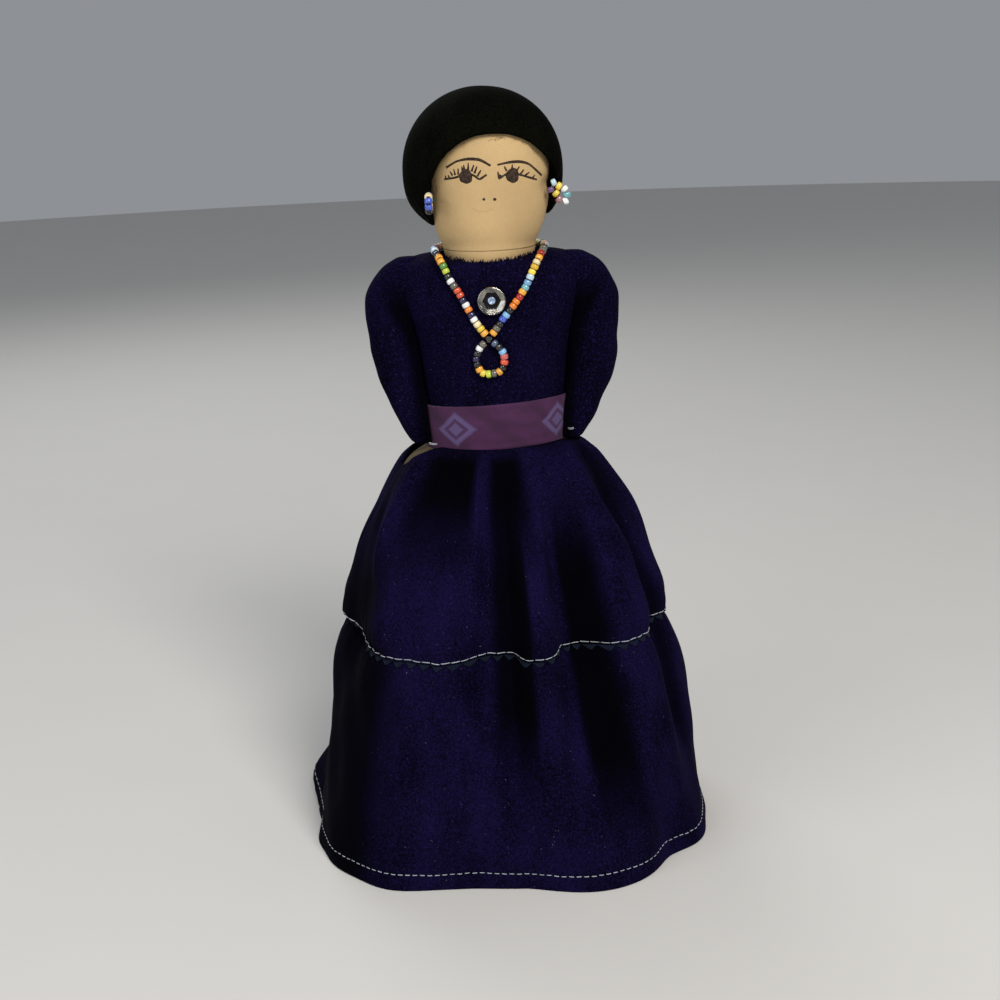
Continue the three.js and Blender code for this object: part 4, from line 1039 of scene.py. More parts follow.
class DOLL_OT_head(DollOperator):
    """Stuffed muslin head, with a hollow for the neck and a pull at the earring"""

    bl_idname = "doll.make_head"
    bl_label = "Head"

    def execute(self, context):
        columns = 64
        rows = [ring(0, 0, HOLLOW_ROOF_Z, across, across, columns) for across in HOLLOW_ROOF]
        for tilt in np.radians(np.linspace(38, 94.2, 16)):
            across = HOLLOW_RADIUS * math.sin(tilt)
            rows.append(ring(0, 0, CHIN_Z + HOLLOW_RADIUS * math.cos(tilt), across, across, columns))
        lip = HOLLOW_RADIUS - 0.06
        rows.append(ring(0, 0, CHIN_Z - 1.4, lip, lip, columns))
        head = add_mesh("padded_head", *loft(rows + head_rows(-0.9, columns)), finish_named("head_muslin"))
        stuff(head, self.held, context.scene.doll_sizes.swell, 6.0)
        points = coordinates(head)
        x, y, z = points.T
        x -= 2.4 * bell((x - 26.5) / 5, (y + 6) / 9, (z - 297) / 3.4)
        crease = bell((x + 19) / 5, (z - 290) / 6) * (y < 0)
        y += 0.35 * crease * np.sin((x * 0.5 + z) * 1.3)
        move_points(head, points)
        subdivide(head)
        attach(head, "head")
        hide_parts("head_cover", "head_stuffing")
        return {"FINISHED"}

    def held(self, points):
        """Where the cover is drawn in under the chin or lies on the neck."""
        x, y, z = points.T
        return np.maximum(smoothstep(z, 276, 273), smoothstep(np.hypot(x, y), 22, 20.9) * (z < 292))


class DOLL_OT_face(DollOperator):
    """Drawn brows, lashes, eyes, nose and mouth, inked on the head, and stray hairs at the hairline"""

    bl_idname = "doll.make_face"
    bl_label = "Face"

    def execute(self, context):
        head = bpy.data.objects["padded_head"]
        self.tree = BVHTree.FromPolygons(
            [vertex.co for vertex in head.data.vertices], [polygon.vertices for polygon in head.data.polygons])
        ink, lip, hairs = Heap(), Heap(), Heap()
        strokes = (
            (ink, BROWS, 0.60, (0.75, 1.0, 0.9)), (ink, LIDS, 0.50, (0.8, 1.0, 0.8)),
            (ink, LASHES, 0.50, (1.0, 0.85, 0.5)), (lip, [MOUTH], 0.15, (1.0, 0.7, 0.9)),
            (hairs, STRAY_HAIRS, 0.09, (0.6, 1.0, 0.5)))
        for heap, drawn, wide, press in strokes:
            for line in drawn:
                self.stroke(heap, line, wide, press)
        for heap, spots in ((ink, IRISES + NOSTRILS), (lip, MOUTH_CORNERS)):
            for spot in spots:
                self.spot(heap, *spot)
        for name, heap, finish in (("face_drawing", ink, "face_ink"), ("mouth_drawing", lip, "lip_ink"),
                                   ("stray_hairs", hairs, "face_ink")):
            drawing = heap.make(name, finish_named(finish))
            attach(drawing, "head")
        return {"FINISHED"}

    def touch(self, x, z):
        """Place and normal on the front of the head."""
        place, normal, _, _ = self.tree.ray_cast(Vector((x, -60, z)) * MM, Vector((0, 1, 0)))
        if place is None:
            raise RuntimeError(f"the head has no front at {x}, {z}")
        return np.array(place) / MM, np.array(normal)

    def stroke(self, heap, line, wide, press):
        """Line of ink that follows the head, wider where it is pressed."""
        flat, _ = spline(line, max(6, int(sum(math.dist(a, b) for a, b in zip(line, line[1:])) / 0.5)))
        found = [self.touch(x, z) for x, z in flat]
        share = np.linspace(0, 1, len(found))
        width = wide * np.interp(share, (0, 0.5, 1), press)
        width = width * (1 + 0.12 * np.sin(share * 9 + line[0][0]))
        heap.add(*sweep([place for place, _ in found], [normal for _, normal in found], width, 0.07))

    def spot(self, heap, x, z, wide, high):
        """Filled oval of ink on the head."""
        angle = turns(28)
        rows = []
        for reach, lift in SPOT_FORM:
            uneven = reach * (1 + 0.05 * np.sin(3 * angle + x) + 0.03 * np.sin(7 * angle))
            found = [self.touch(x + wide * u * math.cos(a), z + high * u * math.sin(a))
                     for u, a in zip(uneven, angle)]
            rows.append([place + normal * lift for place, normal in found])
        heap.add(*loft(rows))


class DOLL_OT_neck(DollOperator):
    """Stuffed muslin neck that turns in the shoulders and lets the head nod"""

    bl_idname = "doll.make_neck"
    bl_label = "Neck"

    def execute(self, context):
        radius = NECK_RADIUS + 0.08
        rows = []
        for tilt in np.radians(np.linspace(52, 168, 30)):
            across = radius * math.sin(tilt)
            rows.append(ring(0, 0, CHIN_Z + radius * math.cos(tilt), across, across, 64))
        rows.insert(0, rows[0] * (0.6, 0.6, 1) + (0, 0, 0.4))
        points, faces = loft(rows)
        angle = np.arctan2(points[:, 0], -points[:, 1])
        fold = bell((points[:, 2] - 267.2 - 0.5 * np.sin(2 * angle)) / 1.1)
        points[:, :2] *= (1 - 0.007 * fold)[:, None]
        neck = add_mesh("padded_neck", points, faces, finish_named("head_muslin"))
        subdivide(neck)
        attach(neck, "neck")
        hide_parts("neck_cover", "neck_stuffing")
        return {"FINISHED"}


class DOLL_OT_hair(DollOperator):
    """Padded velvet cap with a rolled edge round the face"""

    bl_idname = "doll.make_hair"
    bl_label = "Hair"

    def execute(self, context):
        columns = 72
        x, y, z = HAIR_CENTRE
        rows = []
        for tilt in np.linspace(-1.5, 1.5, 44):
            reach, fullness = HAIR_RISE if tilt > 0 else HAIR_FALL
            swell = float(dome(abs(math.sin(tilt)), fullness))
            level = z + reach * math.sin(tilt)
            rows.append(ring(x, y, level, HAIR_HALF[0] * swell, HAIR_HALF[1] * swell, columns))
        hair = add_mesh("velvet_hair", *loft(rows), finish_named("hair_velvet"))
        cutters = [add_mesh("cut_head", *loft(head_rows(-1.4, columns)), finish_named("hair_velvet")),
                   add_mesh("cut_face", *self.opening(), finish_named("hair_velvet"))]
        for cutter in cutters:
            cut = hair.modifiers.new("cut", "BOOLEAN")
            cut.operation = "DIFFERENCE"
            cut.solver = "EXACT"
            cut.object = cutter
        remesh = hair.modifiers.new("even", "REMESH")
        remesh.mode = "VOXEL"
        remesh.voxel_size = 0.0017
        remesh.use_smooth_shade = True
        soften = hair.modifiers.new("soften", "SMOOTH")
        soften.factor = 0.5
        soften.iterations = 10
        apply_modifiers(hair)
        for cutter in cutters:
            bpy.data.objects.remove(cutter)
        stuff(hair, self.held, context.scene.doll_sizes.swell, 5.0)
        subdivide(hair)
        hair.data.polygons.foreach_set("use_smooth", np.full(len(hair.data.polygons), True))
        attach(hair, "head")
        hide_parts("hair_cap")
        return {"FINISHED"}

    def held(self, points):
        """Where the cap lies on the head."""
        x, y, z = points.T
        across = (x - head_shift(z)) / (head_wide(z) + 1.2)
        return (np.hypot(across, y / (head_deep(z) + 1.2)) < 1) * 1.0

    def opening(self):
        """Arched prism that opens the cap at the face."""
        x, z = FACE_ARCH_CENTRE
        wide, high = FACE_ARCH_HALF
        arch = [(x + wide * math.cos(tilt), z + high * math.sin(tilt)) for tilt in np.linspace(0, math.pi, 40)]
        outline = np.array(arch + [(x - wide, 250), (x + wide, 250)])
        rows = [np.stack([outline[:, 0], np.full(len(outline), y), outline[:, 1]], axis=1) for y in (-60, -6)]
        count = len(outline)
        faces = grid_faces(2, count, True) + [tuple(range(count)), tuple(range(2 * count - 1, count - 1, -1))]
        return np.vstack(rows), faces


class DOLL_OT_bodice(DollOperator):
    """Stuffed velvet bodice with a hollow for the neck, and the frayed fibres of its raw neckline"""

    bl_idname = "doll.make_bodice"
    bl_label = "Bodice"

    def execute(self, context):
        sizes = context.scene.doll_sizes
        columns = 72
        drop = self.neck_drop(turns(columns))
        rows = [ring(0, 0, BODICE_BOTTOM_Z + 0.2, 16, 12, columns)]
        for share in np.concatenate([np.linspace(0, 0.9, 30), [0.93, 0.96, 0.985]]):
            z = BODICE_BOTTOM_Z + share * (SHOULDER_Z - BODICE_BOTTOM_Z) - drop * smoothstep(share, 0.85, 1)
            rows.append(ring(0, 0, z, bodice_wide(share) - 0.4, bodice_deep(share) - 0.5, columns))
        opening = self.neck_opening(drop) + 0.8
        wide, deep = SHOULDER_HALF
        for share in (0.12, 0.35, 0.6, 0.85):
            z = SHOULDER_Z - 0.3 + 0.3 * share - drop
            rows.append(ring(0, 0, z, wide + (opening - wide) * share, deep + (opening - deep) * share, columns))
        for tilt in np.radians([101, 114, 124, 136, 148, 160, 172]):
            z = np.minimum(CHIN_Z + NECK_HOLE_RADIUS * math.cos(tilt), SHOULDER_Z - drop)
            across = np.sqrt(NECK_HOLE_RADIUS ** 2 - (CHIN_Z - z) ** 2)
            rows.append(ring(0, 0, z, across, across, columns))
        bodice = add_mesh("velvet_bodice", *loft(rows), finish_named("dress_velvet"))
        stuff(bodice, self.held, sizes.swell * 0.4, 6.0)
        subdivide(bodice)
        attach(bodice, "doll_body")
        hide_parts("bodice", "torso_stuffing")
        self.fray(sizes.fray)
        return {"FINISHED"}

    def held(self, points):
        """Where the bodice is sewn at the waist or lies round the neck."""
        x, y, z = points.T
        return np.maximum(smoothstep(z, 186, 183.5), smoothstep(np.hypot(x, y), 25, 21.5) * (z > 250))

    def neck_drop(self, angle):
        """How far the neckline sags below the shoulder top, most at the front of the doll's right."""
        front = smoothstep(np.cos(angle), 0.1, 0.75)
        return front * (1.0 + 0.9 * smoothstep(np.cos(angle), 0.75, 1.0) - 0.4 * np.sin(angle))

    def neck_opening(self, drop):
        """Radius of the neckline, which lies round the neck."""
        return np.sqrt(NECK_HOLE_RADIUS ** 2 - (CHIN_Z - SHOULDER_Z + drop) ** 2)

    def fray(self, count):
        """Loose fibres that stand up along the neckline."""
        draw = random.Random(7)
        along, wide, high = np.array(FIBRE).T
        heap = Heap()
        for _ in range(count):
            angle = draw.uniform(0, TURN)
            out = np.array([math.sin(angle), -math.cos(angle), 0])
            side = np.array([math.cos(angle), math.sin(angle), 0])
            drop = float(self.neck_drop(angle))
            radius = float(self.neck_opening(drop)) + 0.3
            start = out * (radius + draw.uniform(-0.1, 0.9)) + (0, 0, SHOULDER_Z - 0.4 - drop)
            lean = out * draw.uniform(-0.35, 0.5) + side * draw.uniform(-0.7, 0.7) + (0, 0, 1)
            reach = draw.uniform(0.7, 2.0)
            bend = out * draw.uniform(-0.4, 0.2) * reach
            path = [start + lean * reach * t + bend * t * t for t in along]
            heap.add(*sweep(path, steady_normals(path), wide, high, 4))
        fray = heap.make("neckline_fray", finish_named("dress_velvet"))
        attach(fray, "doll_body")


class DOLL_OT_sleeves(DollOperator):
    """Stuffed velvet sleeves, full at the shoulder and gathered at the wrist, with the threads that hold them"""

    bl_idname = "doll.make_sleeves"
    bl_label = "Sleeves"

    def execute(self, context):
        sizes = context.scene.doll_sizes
        for name, side in (("right", -1), ("left", 1)):
            sleeve = add_mesh(f"{name}_velvet_sleeve", *self.form(side), finish_named("sleeve_velvet"))
            stuff(sleeve, lambda p: smoothstep(np.abs(p[:, 0]), 40, 36), sizes.swell * 0.8, 6.0)
            subdivide(sleeve)
            move_points(sleeve, self.clear(coordinates(sleeve)))
            # The pile attribute carries painted shade where the sleeve meets the bodice.
            set_painted_shade(sleeve, self.pile(coordinates(sleeve)))
            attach(sleeve, "doll_body")
            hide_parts(f"{name}_sleeve", f"{name}_arm_stuffing")
            self.tack(name, side, sizes.thread / MM * 0.4)
        return {"FINISHED"}

    def form(self, side):
        """Sleeve from the gathered wrist to the shoulder."""
        taper = through(SLEEVE_TAPER)
        angle = turns(SLEEVE_COLUMNS)
        rows = []
        for share in np.concatenate([np.linspace(0, 0.2, 9), np.linspace(0.24, 0.9, 22), np.linspace(0.92, 1, 8)]):
            wide, deep = SLEEVE_HALF[0] * taper(share), SLEEVE_HALF[1] * taper(share)
            side_in = 31 + 5.5 * min(1, share / 0.6)
            side_in += (34.0 - side_in) * smoothstep(share, 0.63, 0.9)
            side_in += 1.4 * (1 - smoothstep(share, 0.25, 0.6))
            inward = 4.3 + 2.4 * bell((share - 0.19) / 0.07)
            forward = 9 - 5 * smoothstep(share, 0, 0.4) - 2 * share
            fuller = 0.8 * (side > 0) * math.sin(math.pi * np.clip((share - 0.04) / 0.6, 0, 1))
            row = ring(side * (side_in + wide + fuller - inward / 2), -forward,
                       SLEEVE_BOTTOM_Z + SLEEVE_LENGTH * share,
                       wide - 0.5 + fuller + inward / 2, deep - 0.5, SLEEVE_COLUMNS)
            centre = row.mean(0)
            gather = (0.10 * np.exp(-share / 0.12) * np.cos(7 * angle + side)
                      + 0.03 * math.sin(share * 30 + side) * np.sin(2 * angle + share * 9))
            rows.append(centre + (row - centre) * (1 + gather)[:, None])
        return loft(rows)

    def clear(self, points):
        """Keeps a sleeve off the bodice and the sash."""
        wide, deep = bodice_half(points[:, 2])
        sash_top = WAIST_Z + 19.4 + 1.2 * np.sign(points[:, 0])
        room = -0.5 + 2.2 * smoothstep(points[:, 2] - sash_top, 1.4, -0.4)
        reach = np.sqrt((points[:, 0] / (wide + room)) ** 2 + (points[:, 1] / (deep + room)) ** 2)
        push = 1 / np.clip(reach, 0.5, 1)
        points[:, :2] *= (1 + (push - 1) * smoothstep(points[:, 2], 256, 246))[:, None]
        return points

    def pile(self, points):
        """Painted shade: darker on the sleeve's inner side, where it lies against the bodice in shade."""
        away = np.abs(points[:, 0]) - bodice_half(points[:, 2])[0]
        return 1 - 0.85 * smoothstep(away, 6.5, 0) * smoothstep(points[:, 2], 264, 246)

    def tack(self, name, side, radius):
        """Two turns of thread from the sash to the wrist."""
        heap = Heap()
        x, low = RIGHT_TACK if side < 0 else LEFT_TACK
        for z in (low, low + 0.5):
            start = (side * x, float(bodice_front(x, z, 1.5)), z)
            end = (side * (x + 3.6), -13.0, z + 0.5)
            middle = ((start[0] + end[0]) / 2, min(start[1], end[1]) - 0.7, z + 0.35)
            path, _ = spline([start, middle, end], 14)
            heap.add(*sweep(path, steady_normals(path), radius, radius))
        tack = heap.make(f"{name}_wrist_thread", finish_named("white_thread"))
        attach(tack, "doll_body")
        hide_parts(f"{name}_wrist_tack")


class DOLL_OT_hips(DollOperator):
    """Stuffed muslin hips and legs under the skirt"""

    bl_idname = "doll.make_hips"
    bl_label = "Hips and legs"

    def execute(self, context):
        swell = context.scene.doll_sizes.swell
        wide = through([(share, half) for share, half, _ in HIP_FORM])
        deep = through([(share, half) for share, _, half in HIP_FORM])
        rows = [ring(0, 0, HIP_BOTTOM_Z + 0.6, 24, 17, HIP_COLUMNS)]
        for share in np.linspace(0.02, 1, 22):
            z = HIP_BOTTOM_Z + HIP_HEIGHT * share
            rows.append(ring(0, 0, z, wide(share) - 0.4, deep(share) - 0.4, HIP_COLUMNS))
        # The hips and legs take the muslin painted dark as shade.
        hips = add_mesh("padded_hips", *loft(rows), finish_named("shaded_hip_muslin"))
        points = coordinates(hips)
        for side in (-LEG_X, LEG_X):
            socket = (side, 0, HIP_BOTTOM_Z)
            away = points - socket
            reach = np.linalg.norm(away, axis=1, keepdims=True)
            rounded = socket + away / np.maximum(reach, 1e-6) * SOCKET_RADIUS
            points = np.where(reach < SOCKET_RADIUS, rounded, points)
        x, y, z = points.T
        side_bulge = bell((np.degrees(np.arctan2(x, -y)) + 70) / 26)
        bulge = side_bulge * smoothstep(z, 164, 173) * smoothstep(z, 183, 180)
        points[:, :2] *= (1 + 0.11 * bulge)[:, None]
        move_points(hips, points)
        stuff(hips, lambda p: smoothstep(p[:, 2], 165, 158), swell * 0.5, 5.0)
        subdivide(hips)
        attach(hips, "doll_body")
        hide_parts("under_body_cover", "under_body_stuffing")
        for name, side in (("right", -1), ("left", 1)):
            leg = add_mesh(f"{name}_padded_leg", *self.leg(side), finish_named("shaded_hip_muslin"))
            stuff(leg, lambda p: smoothstep(p[:, 2], 140, 146), swell * 0.4, 5.0)
            subdivide(leg)
            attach(leg, f"{name}_leg")
            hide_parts(f"{name}_leg_cover", f"{name}_leg_stuffing")
        return {"FINISHED"}

    def leg(self, side):
        """Round top, taper to the ankle, foot forward."""
        pivot = 1 - THIGH / 2 / LEG_HEIGHT
        shares = np.concatenate([
            [0, 0.008, 0.02, 0.04, 0.06, 0.08, 0.1, 0.13, 0.16], np.linspace(0.2, pivot, 18),
            pivot + (1 - pivot) * np.sin(np.linspace(0.2, 1.5, 9))])
        rows = []
        for share in shares:
            foot = 1 - smoothstep(share, 0.06, 0.2)
            thigh = smoothstep(share, 0.2, 1 - THIGH / LEG_HEIGHT)
            low_wide, low_deep = ANKLE + 2 * foot, ANKLE + 15 * foot
            cap = float(dome((share - pivot) / (1 - pivot), 2)) if share > pivot else 1.0
            sole = 0.82 if share == 0 else 0.95 if share < 0.01 else 1.0
            wide = cap * sole * (low_wide + (THIGH - low_wide) * thigh) / 2 - 0.3 * cap
            deep = cap * sole * (low_deep + (THIGH - low_deep) * thigh) / 2 - 0.3 * cap
            rows.append(ring(LEG_X * side, -6 * foot, LEG_BOTTOM_Z + share * LEG_HEIGHT, wide, deep, 36))
        return loft(rows)


class DOLL_OT_skirt(DollOperator):
    """Velvet skirt in two gathered tiers, each of a front and a back panel, with braid and topstitching"""

    bl_idname = "doll.make_skirt"
    bl_label = "Skirt"

    def execute(self, context):
        sizes = context.scene.doll_sizes
        braid = self.braid(sizes)
        tier = self.stitches("tier_stitches", "tier_topstitch", lambda a: tier_edge(a) + 0.7, UPPER_TIER[1],
                             sizes.tier_stitch / MM, 0.03)
        hem = self.stitches("hem_stitches", "hem_topstitch", lambda a: hem_edge(a) + 6.5, LOWER_TIER[1],
                            sizes.stitch / MM, 0.13)
        for half, start in (("front", -90), ("back", 90)):
            upper = self.panel(f"upper_skirt_{half}", f"skirt_upper_{half}", start, self.upper_heights,
                               UPPER_TIER, UPPER_ROWS)
            lower = self.panel(f"lower_skirt_{half}", f"skirt_lower_{half}", start, self.lower_heights,
                               LOWER_TIER, LOWER_ROWS)
        return {"FINISHED"}

    def upper_heights(self, theta, rows):
        """Rows from the waist, which gapes at the side openings, to the tier's edge."""
        turn = np.degrees(theta)
        gape = 10.5 * smoothstep(-turn, 50, 84) * (turn <= 90.5) * (turn >= -90.01)
        gape = gape + 4.5 * bell((turn - 270) / 14) + 2.2 * bell((turn - 84) / 9)
        top = SKIRT_TOP_Z - gape
        share = np.concatenate([[0, 0.004, 0.012, 0.025], np.linspace(0.045, 0.97, rows - 7), [0.98, 0.99, 1]])
        return top[None] + (tier_edge(theta) - top)[None] * share[:, None]

    def lower_heights(self, theta, rows):
        """Rows from inside the upper tier to the hem."""
        top = np.full_like(theta, TIER_Z + 5.5)
        share = np.concatenate([np.linspace(0, 0.93, rows - 6), [0.945, 0.96, 0.97, 0.98, 0.99, 1]])
        return top[None] + (hem_edge(theta) - top)[None] * share[:, None]

    def panel(self, name, node, start, heights, layer, rows):
        """One panel of a tier, with a narrow seam at each side."""
        theta = np.radians(np.linspace(start + 0.12, start + 179.88, PANEL_COLUMNS))
        z = heights(theta, rows)
        around = np.broadcast_to(theta, z.shape)
        seam = 0.5 * np.exp(-np.minimum(theta - theta[0], theta[-1] - theta) / 0.012)
        sides = [skirt_points(around, z, offset - seam[None]) for offset in (layer[1], layer[0])]
        panel = add_mesh(name, *shell(*sides), finish_named("skirt_velvet"))
        # Painted shade: the outer side takes the skirt's painted fold and side shade, and the inner side is
        # painted darker still, as the shade inside the skirt.
        pile = self.pile(around, z)
        set_painted_shade(panel, np.concatenate([pile[:1], pile, pile[-1:], 0.3 * pile[::-1]]))
        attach(panel, "doll_body")
        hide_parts(node)
        return panel

    def pile(self, theta, z):
        """Painted shade: dark on the side of each fold turned away from the key lamp, and on the doll's right side
        of the skirt, which faces away from it.
        """
        below, down = skirt_shares(z)
        turn = angle_from(theta, 0)
        # Painted shade past each waist and tier valley, on the slope turned away from the key lamp.
        waist = (smoothstep(fold_at(WAIST_FOLDS, turn - 1, THIN_RIDGES), 1.0, -5.0)
                 * smoothstep(below, -0.05, 0.07) * (1 - smoothstep(below, 0.18, 0.68)))
        reach = 0.2 + 0.25 * smoothstep(turn, 12, 26)
        tier = (smoothstep(fold_at(TIER_FOLDS, turn - 5, THIN_VALLEYS), -0.5, -6.8)
                * smoothstep(below, 0, 0.65) * (1 - smoothstep(down, reach, reach + 0.45)))
        # Painted shade over the doll's right side, turned away from the key lamp.
        side = -36 - 10 * smoothstep(z, 90, 115)
        painted_side_shade = smoothstep(turn, side + 6, side - 10) * smoothstep(turn, -140, -72) * smoothstep(z, 160, 118)
        return (1 - 0.97 * waist) * (1 - 0.97 * tier) * (1 - 0.92 * painted_side_shade)

    def braid(self, sizes):
        """Zigzag braid caught under the upper tier, with its points hanging below."""
        count = sizes.braid_points * BRAID_STEPS
        theta = np.arange(count + 1) / count * TURN
        wave = np.arcsin(BRAID_ROUNDNESS * np.sin(theta * sizes.braid_points)) / math.asin(BRAID_ROUNDNESS)
        middle = tier_edge(theta) - 0.35 - 0.95 * wave
        share = np.linspace(1, -1, 7)
        z = middle[None] + 1.5 * share[:, None]
        around = np.broadcast_to(theta, z.shape)
        crown = 0.18 * (1 - share ** 2)[:, None]
        sides = [skirt_points(around, z, BRAID_LAYER[1] + crown), skirt_points(around, z, BRAID_LAYER[0])]
        points = shell(*sides)[0].reshape(-1, count + 1, 3)[:, :-1]
        braid = add_mesh("zigzag_braid", points, grid_faces(len(points), count, True, True),
                         finish_named("zigzag_braid"))
        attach(braid, "doll_body")
        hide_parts("rickrack_trim")
        return braid

    def stitches(self, name, node, height, offset, pitch, gap):
        """Row of machine stitches, each dipping into the cloth at its ends."""
        fine = np.linspace(0, TURN, 1441)
        ends, count = even_angles(fine, height(fine), offset, pitch)
        draw = random.Random(11)
        radius = bpy.context.scene.doll_sizes.thread / MM / 2
        along, rise, taper = np.array(STITCH).T
        wander = np.linspace(-0.12, 0.12, len(STITCH))
        heap = Heap()
        for index in range(count):
            reach = ends[index + 1] - ends[index]
            theta = ends[index] + reach * (gap + (1 - 2 * gap) * along)
            z = height(theta) + draw.uniform(-0.12, 0.12) + wander * draw.uniform(-1, 1)
            path, normals = skirt_points(theta, z, offset + radius * rise), skirt_normals(theta, z, offset)
            heap.add(*sweep(path, normals, radius * taper, radius * taper * 0.9))
        row = heap.make(name, finish_named("white_thread"))
        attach(row, "doll_body")
        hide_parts(node)
        return row


class DOLL_OT_sash(DollOperator):
    """Printed ribbon wrapped round the waist, lapped at the back"""

    bl_idname = "doll.make_sash"
    bl_label = "Sash"

    def execute(self, context):
        sizes = context.scene.doll_sizes
        start = math.pi - math.radians(24)
        theta = np.linspace(-start, start + math.radians(64), SASH_COLUMNS)
        share = np.linspace(1, 0, SASH_ROWS)
        tilt = 1.2 * np.sin(theta) + 0.35 * np.sin(2 * theta + 1)
        z = WAIST_Z - 0.6 + sizes.sash_width / MM * share[:, None] + tilt[None]
        around = np.broadcast_to(theta, z.shape)
        lap = 1.05 * smoothstep(theta, start - 0.10, start + 0.06)[None]
        bow = (0.25 * np.sin(math.pi * share)[:, None]
               + 0.12 * np.sin(9 * around + 4 * share[:, None]) * np.sin(2.5 * math.pi * share)[:, None])
        press = 0.5 * smoothstep(share, 0.14, 0.0)[:, None]
        wide, deep = bodice_half(z)
        sides = []
        for offset in (SASH_THICKNESS, 0.0):
            out = offset + lap + bow + press
            sides.append(np.stack([(wide + out) * np.sin(around), -(deep + out) * np.cos(around), z], axis=-1))
        sash = add_mesh("printed_sash", *shell(*sides), finish_named("printed_cotton"))
        layer = sash.data.uv_layers.new(name="ribbon")
        across = np.concatenate([[1.0], share, [0.0], share[::-1]])
        corners = np.zeros(len(sash.data.loops), np.int32)
        sash.data.loops.foreach_get("vertex_index", corners)
        along = (corners % SASH_COLUMNS) / SASH_COLUMNS * PRINT_REPEATS + 0.08
        flat = np.stack([along, across[corners // SASH_COLUMNS]], axis=1)
        layer.data.foreach_set("uv", flat.astype(np.float32).ravel())
        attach(sash, "doll_body")
        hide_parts("sash", "sash_back_lap")
        return {"FINISHED"}


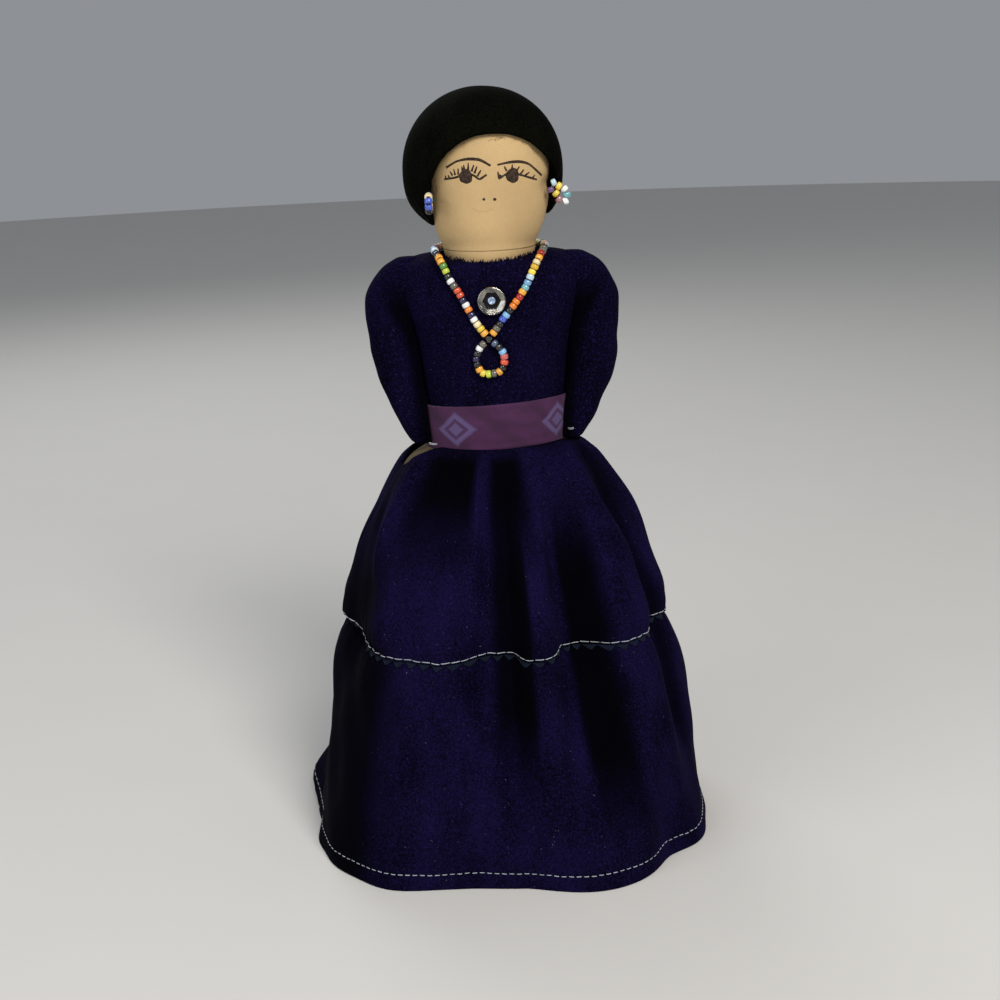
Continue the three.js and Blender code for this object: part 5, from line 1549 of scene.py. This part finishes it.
class DOLL_OT_beads(DollOperator):
    """Bead necklace with its loop and knot, and the two bead earrings"""

    bl_idname = "doll.make_beads"
    bl_label = "Beads"

    def execute(self, context):
        sizes = context.scene.doll_sizes
        self.draw = random.Random(23)
        self.size, self.pitch = sizes.bead / MM, sizes.bead_pitch / MM
        left = over_shoulder(OVER_SHOULDER, 1) + on_chest(LEFT_STRAND)
        right = over_shoulder(OVER_SHOULDER, -1) + on_chest(RIGHT_STRAND)
        nape = over_shoulder(NAPE, 1) + over_shoulder(NAPE[-2::-1], -1)
        self.strand("left_bead_strand", "necklace_left_strand", "necklace_front", left, LEFT_BEADS)
        self.strand("right_bead_strand", "necklace_right_strand", "necklace_front", right, RIGHT_BEADS)
        self.strand("nape_bead_strand", "necklace_nape_strand", "doll_body", nape, NAPE_BEADS)
        self.strand("bead_loop", "necklace_loop", "necklace_loop", on_chest(FRONT_LOOP), LOOP_BEADS)
        self.knot()
        turn = turns(len(EDGE_RING)) - 0.75 * math.pi + math.pi / 8
        edge = [(colour, 0, EDGE_RING_RADIUS * math.sin(at), EDGE_RING_RADIUS * math.cos(at))
                for colour, at in zip(EDGE_RING, turn)]
        self.earring("right_bead_earring", "right_earring", RIGHT_EARRING, edge)
        face = [(colour, x, 0.25 * math.sin(3 * x), z) for colour, x, z in ROSETTE]
        self.earring("left_bead_earring", "left_earring", LEFT_EARRING, face)
        return {"FINISHED"}

    def bead(self, heap, centre, along, colour):
        """Rounded glass ring, threaded along a direction."""
        size = self.size * self.draw.uniform(0.93, 1.03)
        half_long = self.pitch / 2 * self.draw.uniform(0.9, 1.0)
        along = unit(np.asarray(along, float) + np.array([self.draw.uniform(-0.12, 0.12) for _ in range(3)]))
        side = unit(np.cross(along, (0.31, 0.52, 0.79)))
        over = np.cross(along, side)
        turn = turns(BEAD_COLUMNS)
        spin = np.cos(turn)[:, None] * side + np.sin(turn)[:, None] * over
        middle, thick = (size / 2 + BEAD_HOLE) / 2, (size / 2 - BEAD_HOLE) / 2
        rings = []
        for tilt in turns(BEAD_ROWS):
            out = middle + thick * self.blunt(math.cos(tilt))
            up = half_long * self.blunt(math.sin(tilt))
            rings.append(centre + spin * out + along * up)
        tint = np.array(BEAD_COLOURS[colour]) * self.draw.uniform(0.85, 1.1)
        heap.add(np.array(rings), grid_faces(BEAD_ROWS, BEAD_COLUMNS, True, True), np.clip(tint, 0, 1))

    def blunt(self, value):
        """Sine or cosine that makes a round section a little square."""
        return math.copysign(abs(value) ** (2 / BEAD_BLUNTNESS), value)

    def string(self, heap, path):
        """Thread through the beads."""
        heap.add(*sweep(path, steady_normals(path), 0.22, 0.22, 6), (0.30, 0.27, 0.22))

    def strand(self, name, node, body, points, colours):
        """String of beads along a line, laid a pitch apart."""
        _, length = spline(points, 2)
        count = max(1, round(length / self.pitch))
        ends, _ = spline(points, count + 1)
        heap = Heap()
        self.string(heap, spline(points, 4 * count)[0])
        for index in range(count):
            centre = (ends[index] + ends[index + 1]) / 2
            centre = centre + np.array([self.draw.uniform(-0.12, 0.12), 0, self.draw.uniform(-0.12, 0.12)])
            self.bead(heap, centre, ends[index + 1] - ends[index], colours[index % len(colours)])
        self.finish(heap, name, node, body)

    def earring(self, name, node, centre, places):
        """Loop of beads sewn to the side of the face."""
        heap = Heap()
        spots = [np.array(centre, float) + (x, y, z) for _, x, y, z in places]
        self.string(heap, spline(spots + spots[:1], 60)[0])
        for index, (colour, *_) in enumerate(places):
            along = spots[(index + 1) % len(spots)] - spots[index - 1]
            self.bead(heap, spots[index], along, colour)
        self.finish(heap, name, node, node)

    def finish(self, heap, name, node, body):
        """One object from a heap of beads, in its place on the doll."""
        beads = heap.make(name, finish_named("glass_beads"), colours=True)
        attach(beads, body)
        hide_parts(node)

    def knot(self):
        """Tight overhand knot where the strands meet."""
        (x, y, z), = on_chest([KNOT_PLACE])
        turn = np.linspace(0, TURN, 73)[:-1]
        path = np.stack([x + 0.42 * (np.sin(turn) + 2 * np.sin(2 * turn)), y + 0.45 * -np.sin(3 * turn),
                         z + 0.42 * (np.cos(turn) - 2 * np.cos(2 * turn))], axis=1)
        heap = Heap()
        heap.add(*sweep(path, steady_normals(path), 0.34, 0.34, 8))
        knot = heap.make("necklace_knot", finish_named("bead_thread"))
        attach(knot, "necklace_front")
        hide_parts("necklace_tie")


class DOLL_OT_button(DollOperator):
    """Plated shank button with six facets round a hollow painted dark as shade, and a dome in its middle tinted
    pale blue as a painted reflection
    """

    bl_idname = "doll.make_button"
    bl_label = "Button"

    def execute(self, context):
        self.back = float(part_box("button_disc")[1].y) / MM
        self.angle = turns(BUTTON_COLUMNS)
        sector = (self.angle + math.pi / 6) % (math.pi / 3) - math.pi / 6
        hexagon = math.cos(math.pi / 6) / np.cos(sector)
        rows = [self.row(up, out) for up, out in BUTTON_RIM]
        for share in (0.0, 0.03, 0.35, 0.7, 0.97, 1.0):
            out = FACET_OUTER + (FACET_INNER * hexagon - FACET_OUTER) * share
            rows.append(self.row(0.85 + 0.6 * (out * np.cos(sector) - 3.03), out))
        rows += [self.row(up, out * hexagon) for up, out in BUTTON_WELL]
        rows.append(self.row(BUTTON_WELL[-1][0], 1.0))
        disc = add_mesh("metal_button", *loft(rows), finish_named("button_metal"))
        # Painted shade: the faces in the hollow take a near-black metal.
        disc.data.materials.append(finish_named("button_shaded_hollow"))
        for polygon in disc.data.polygons:
            out = math.hypot(polygon.center.x, polygon.center.z - BUTTON_Z * MM) / MM
            if out < HOLLOW_REACH and HOLLOW_LOW < self.back - polygon.center.y / MM < HOLLOW_HIGH:
                polygon.material_index = 1
        disc.data.set_sharp_from_angle(angle=math.radians(24))
        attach(disc, "button")
        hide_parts("button_disc")
        # Painted reflection: the dome in the middle takes a pale blue, bright finish.
        rows = [self.row(up, out) for up, out in BUTTON_DOME]
        centre = add_mesh("button_centre", *loft(rows), finish_named("button_painted_reflection"))
        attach(centre, "button")
        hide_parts("button_dome")
        for node, finish in (("button_shank", "button_metal"), ("button_thread", "white_thread")):
            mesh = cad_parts[node].data
            mesh.materials.clear()
            mesh.materials.append(finish_named(finish))
        return {"FINISHED"}

    def row(self, up, out):
        """Ring round the button's axis, up from its back."""
        out = np.broadcast_to(out, self.angle.shape)
        return np.stack([out * np.sin(self.angle), np.full(len(self.angle), self.back - up),
                         BUTTON_Z - out * np.cos(self.angle)], axis=1)


class DOLL_PT_panel(Panel):
    """Lists the doll's pieces, sizes and colours"""

    bl_idname = "DOLL_PT_panel"
    bl_label = "Cloth Doll"
    bl_space_type = "VIEW_3D"
    bl_region_type = "UI"
    bl_category = "Cloth Doll"

    def draw(self, context):
        for maker in MAKERS:
            self.layout.operator(maker.bl_idname)
        for group in (context.scene.doll_sizes, context.scene.doll_colours):
            for name in group.__annotations__:
                self.layout.prop(group, name)


MAKERS = (DOLL_OT_stage, DOLL_OT_head, DOLL_OT_face, DOLL_OT_neck, DOLL_OT_hair, DOLL_OT_bodice, DOLL_OT_sleeves,
          DOLL_OT_hips, DOLL_OT_skirt, DOLL_OT_sash, DOLL_OT_beads, DOLL_OT_button)
CLASSES = (DollSizes, DollColours, *MAKERS, DOLL_PT_panel)


def register():
    """Adds the doll's classes, and gives the scene its sizes and colours."""
    for kind in CLASSES:
        bpy.utils.register_class(kind)
    bpy.types.Scene.doll_sizes = PointerProperty(type=DollSizes)
    bpy.types.Scene.doll_colours = PointerProperty(type=DollColours)


def unregister():
    """Takes the classes and the settings back."""
    del bpy.types.Scene.doll_colours
    del bpy.types.Scene.doll_sizes
    for kind in reversed(CLASSES):
        bpy.utils.unregister_class(kind)


def main():
    """Makes the stage and the doll, piece by piece."""
    register()
    bpy.ops.doll.make_stage()
    bpy.ops.doll.make_head()
    bpy.ops.doll.make_face()
    bpy.ops.doll.make_neck()
    bpy.ops.doll.make_hair()
    bpy.ops.doll.make_bodice()
    bpy.ops.doll.make_sleeves()
    bpy.ops.doll.make_hips()
    bpy.ops.doll.make_sash()
    bpy.ops.doll.make_skirt()
    bpy.ops.doll.make_beads()
    bpy.ops.doll.make_button()


if __name__ == "__main__":
    main()
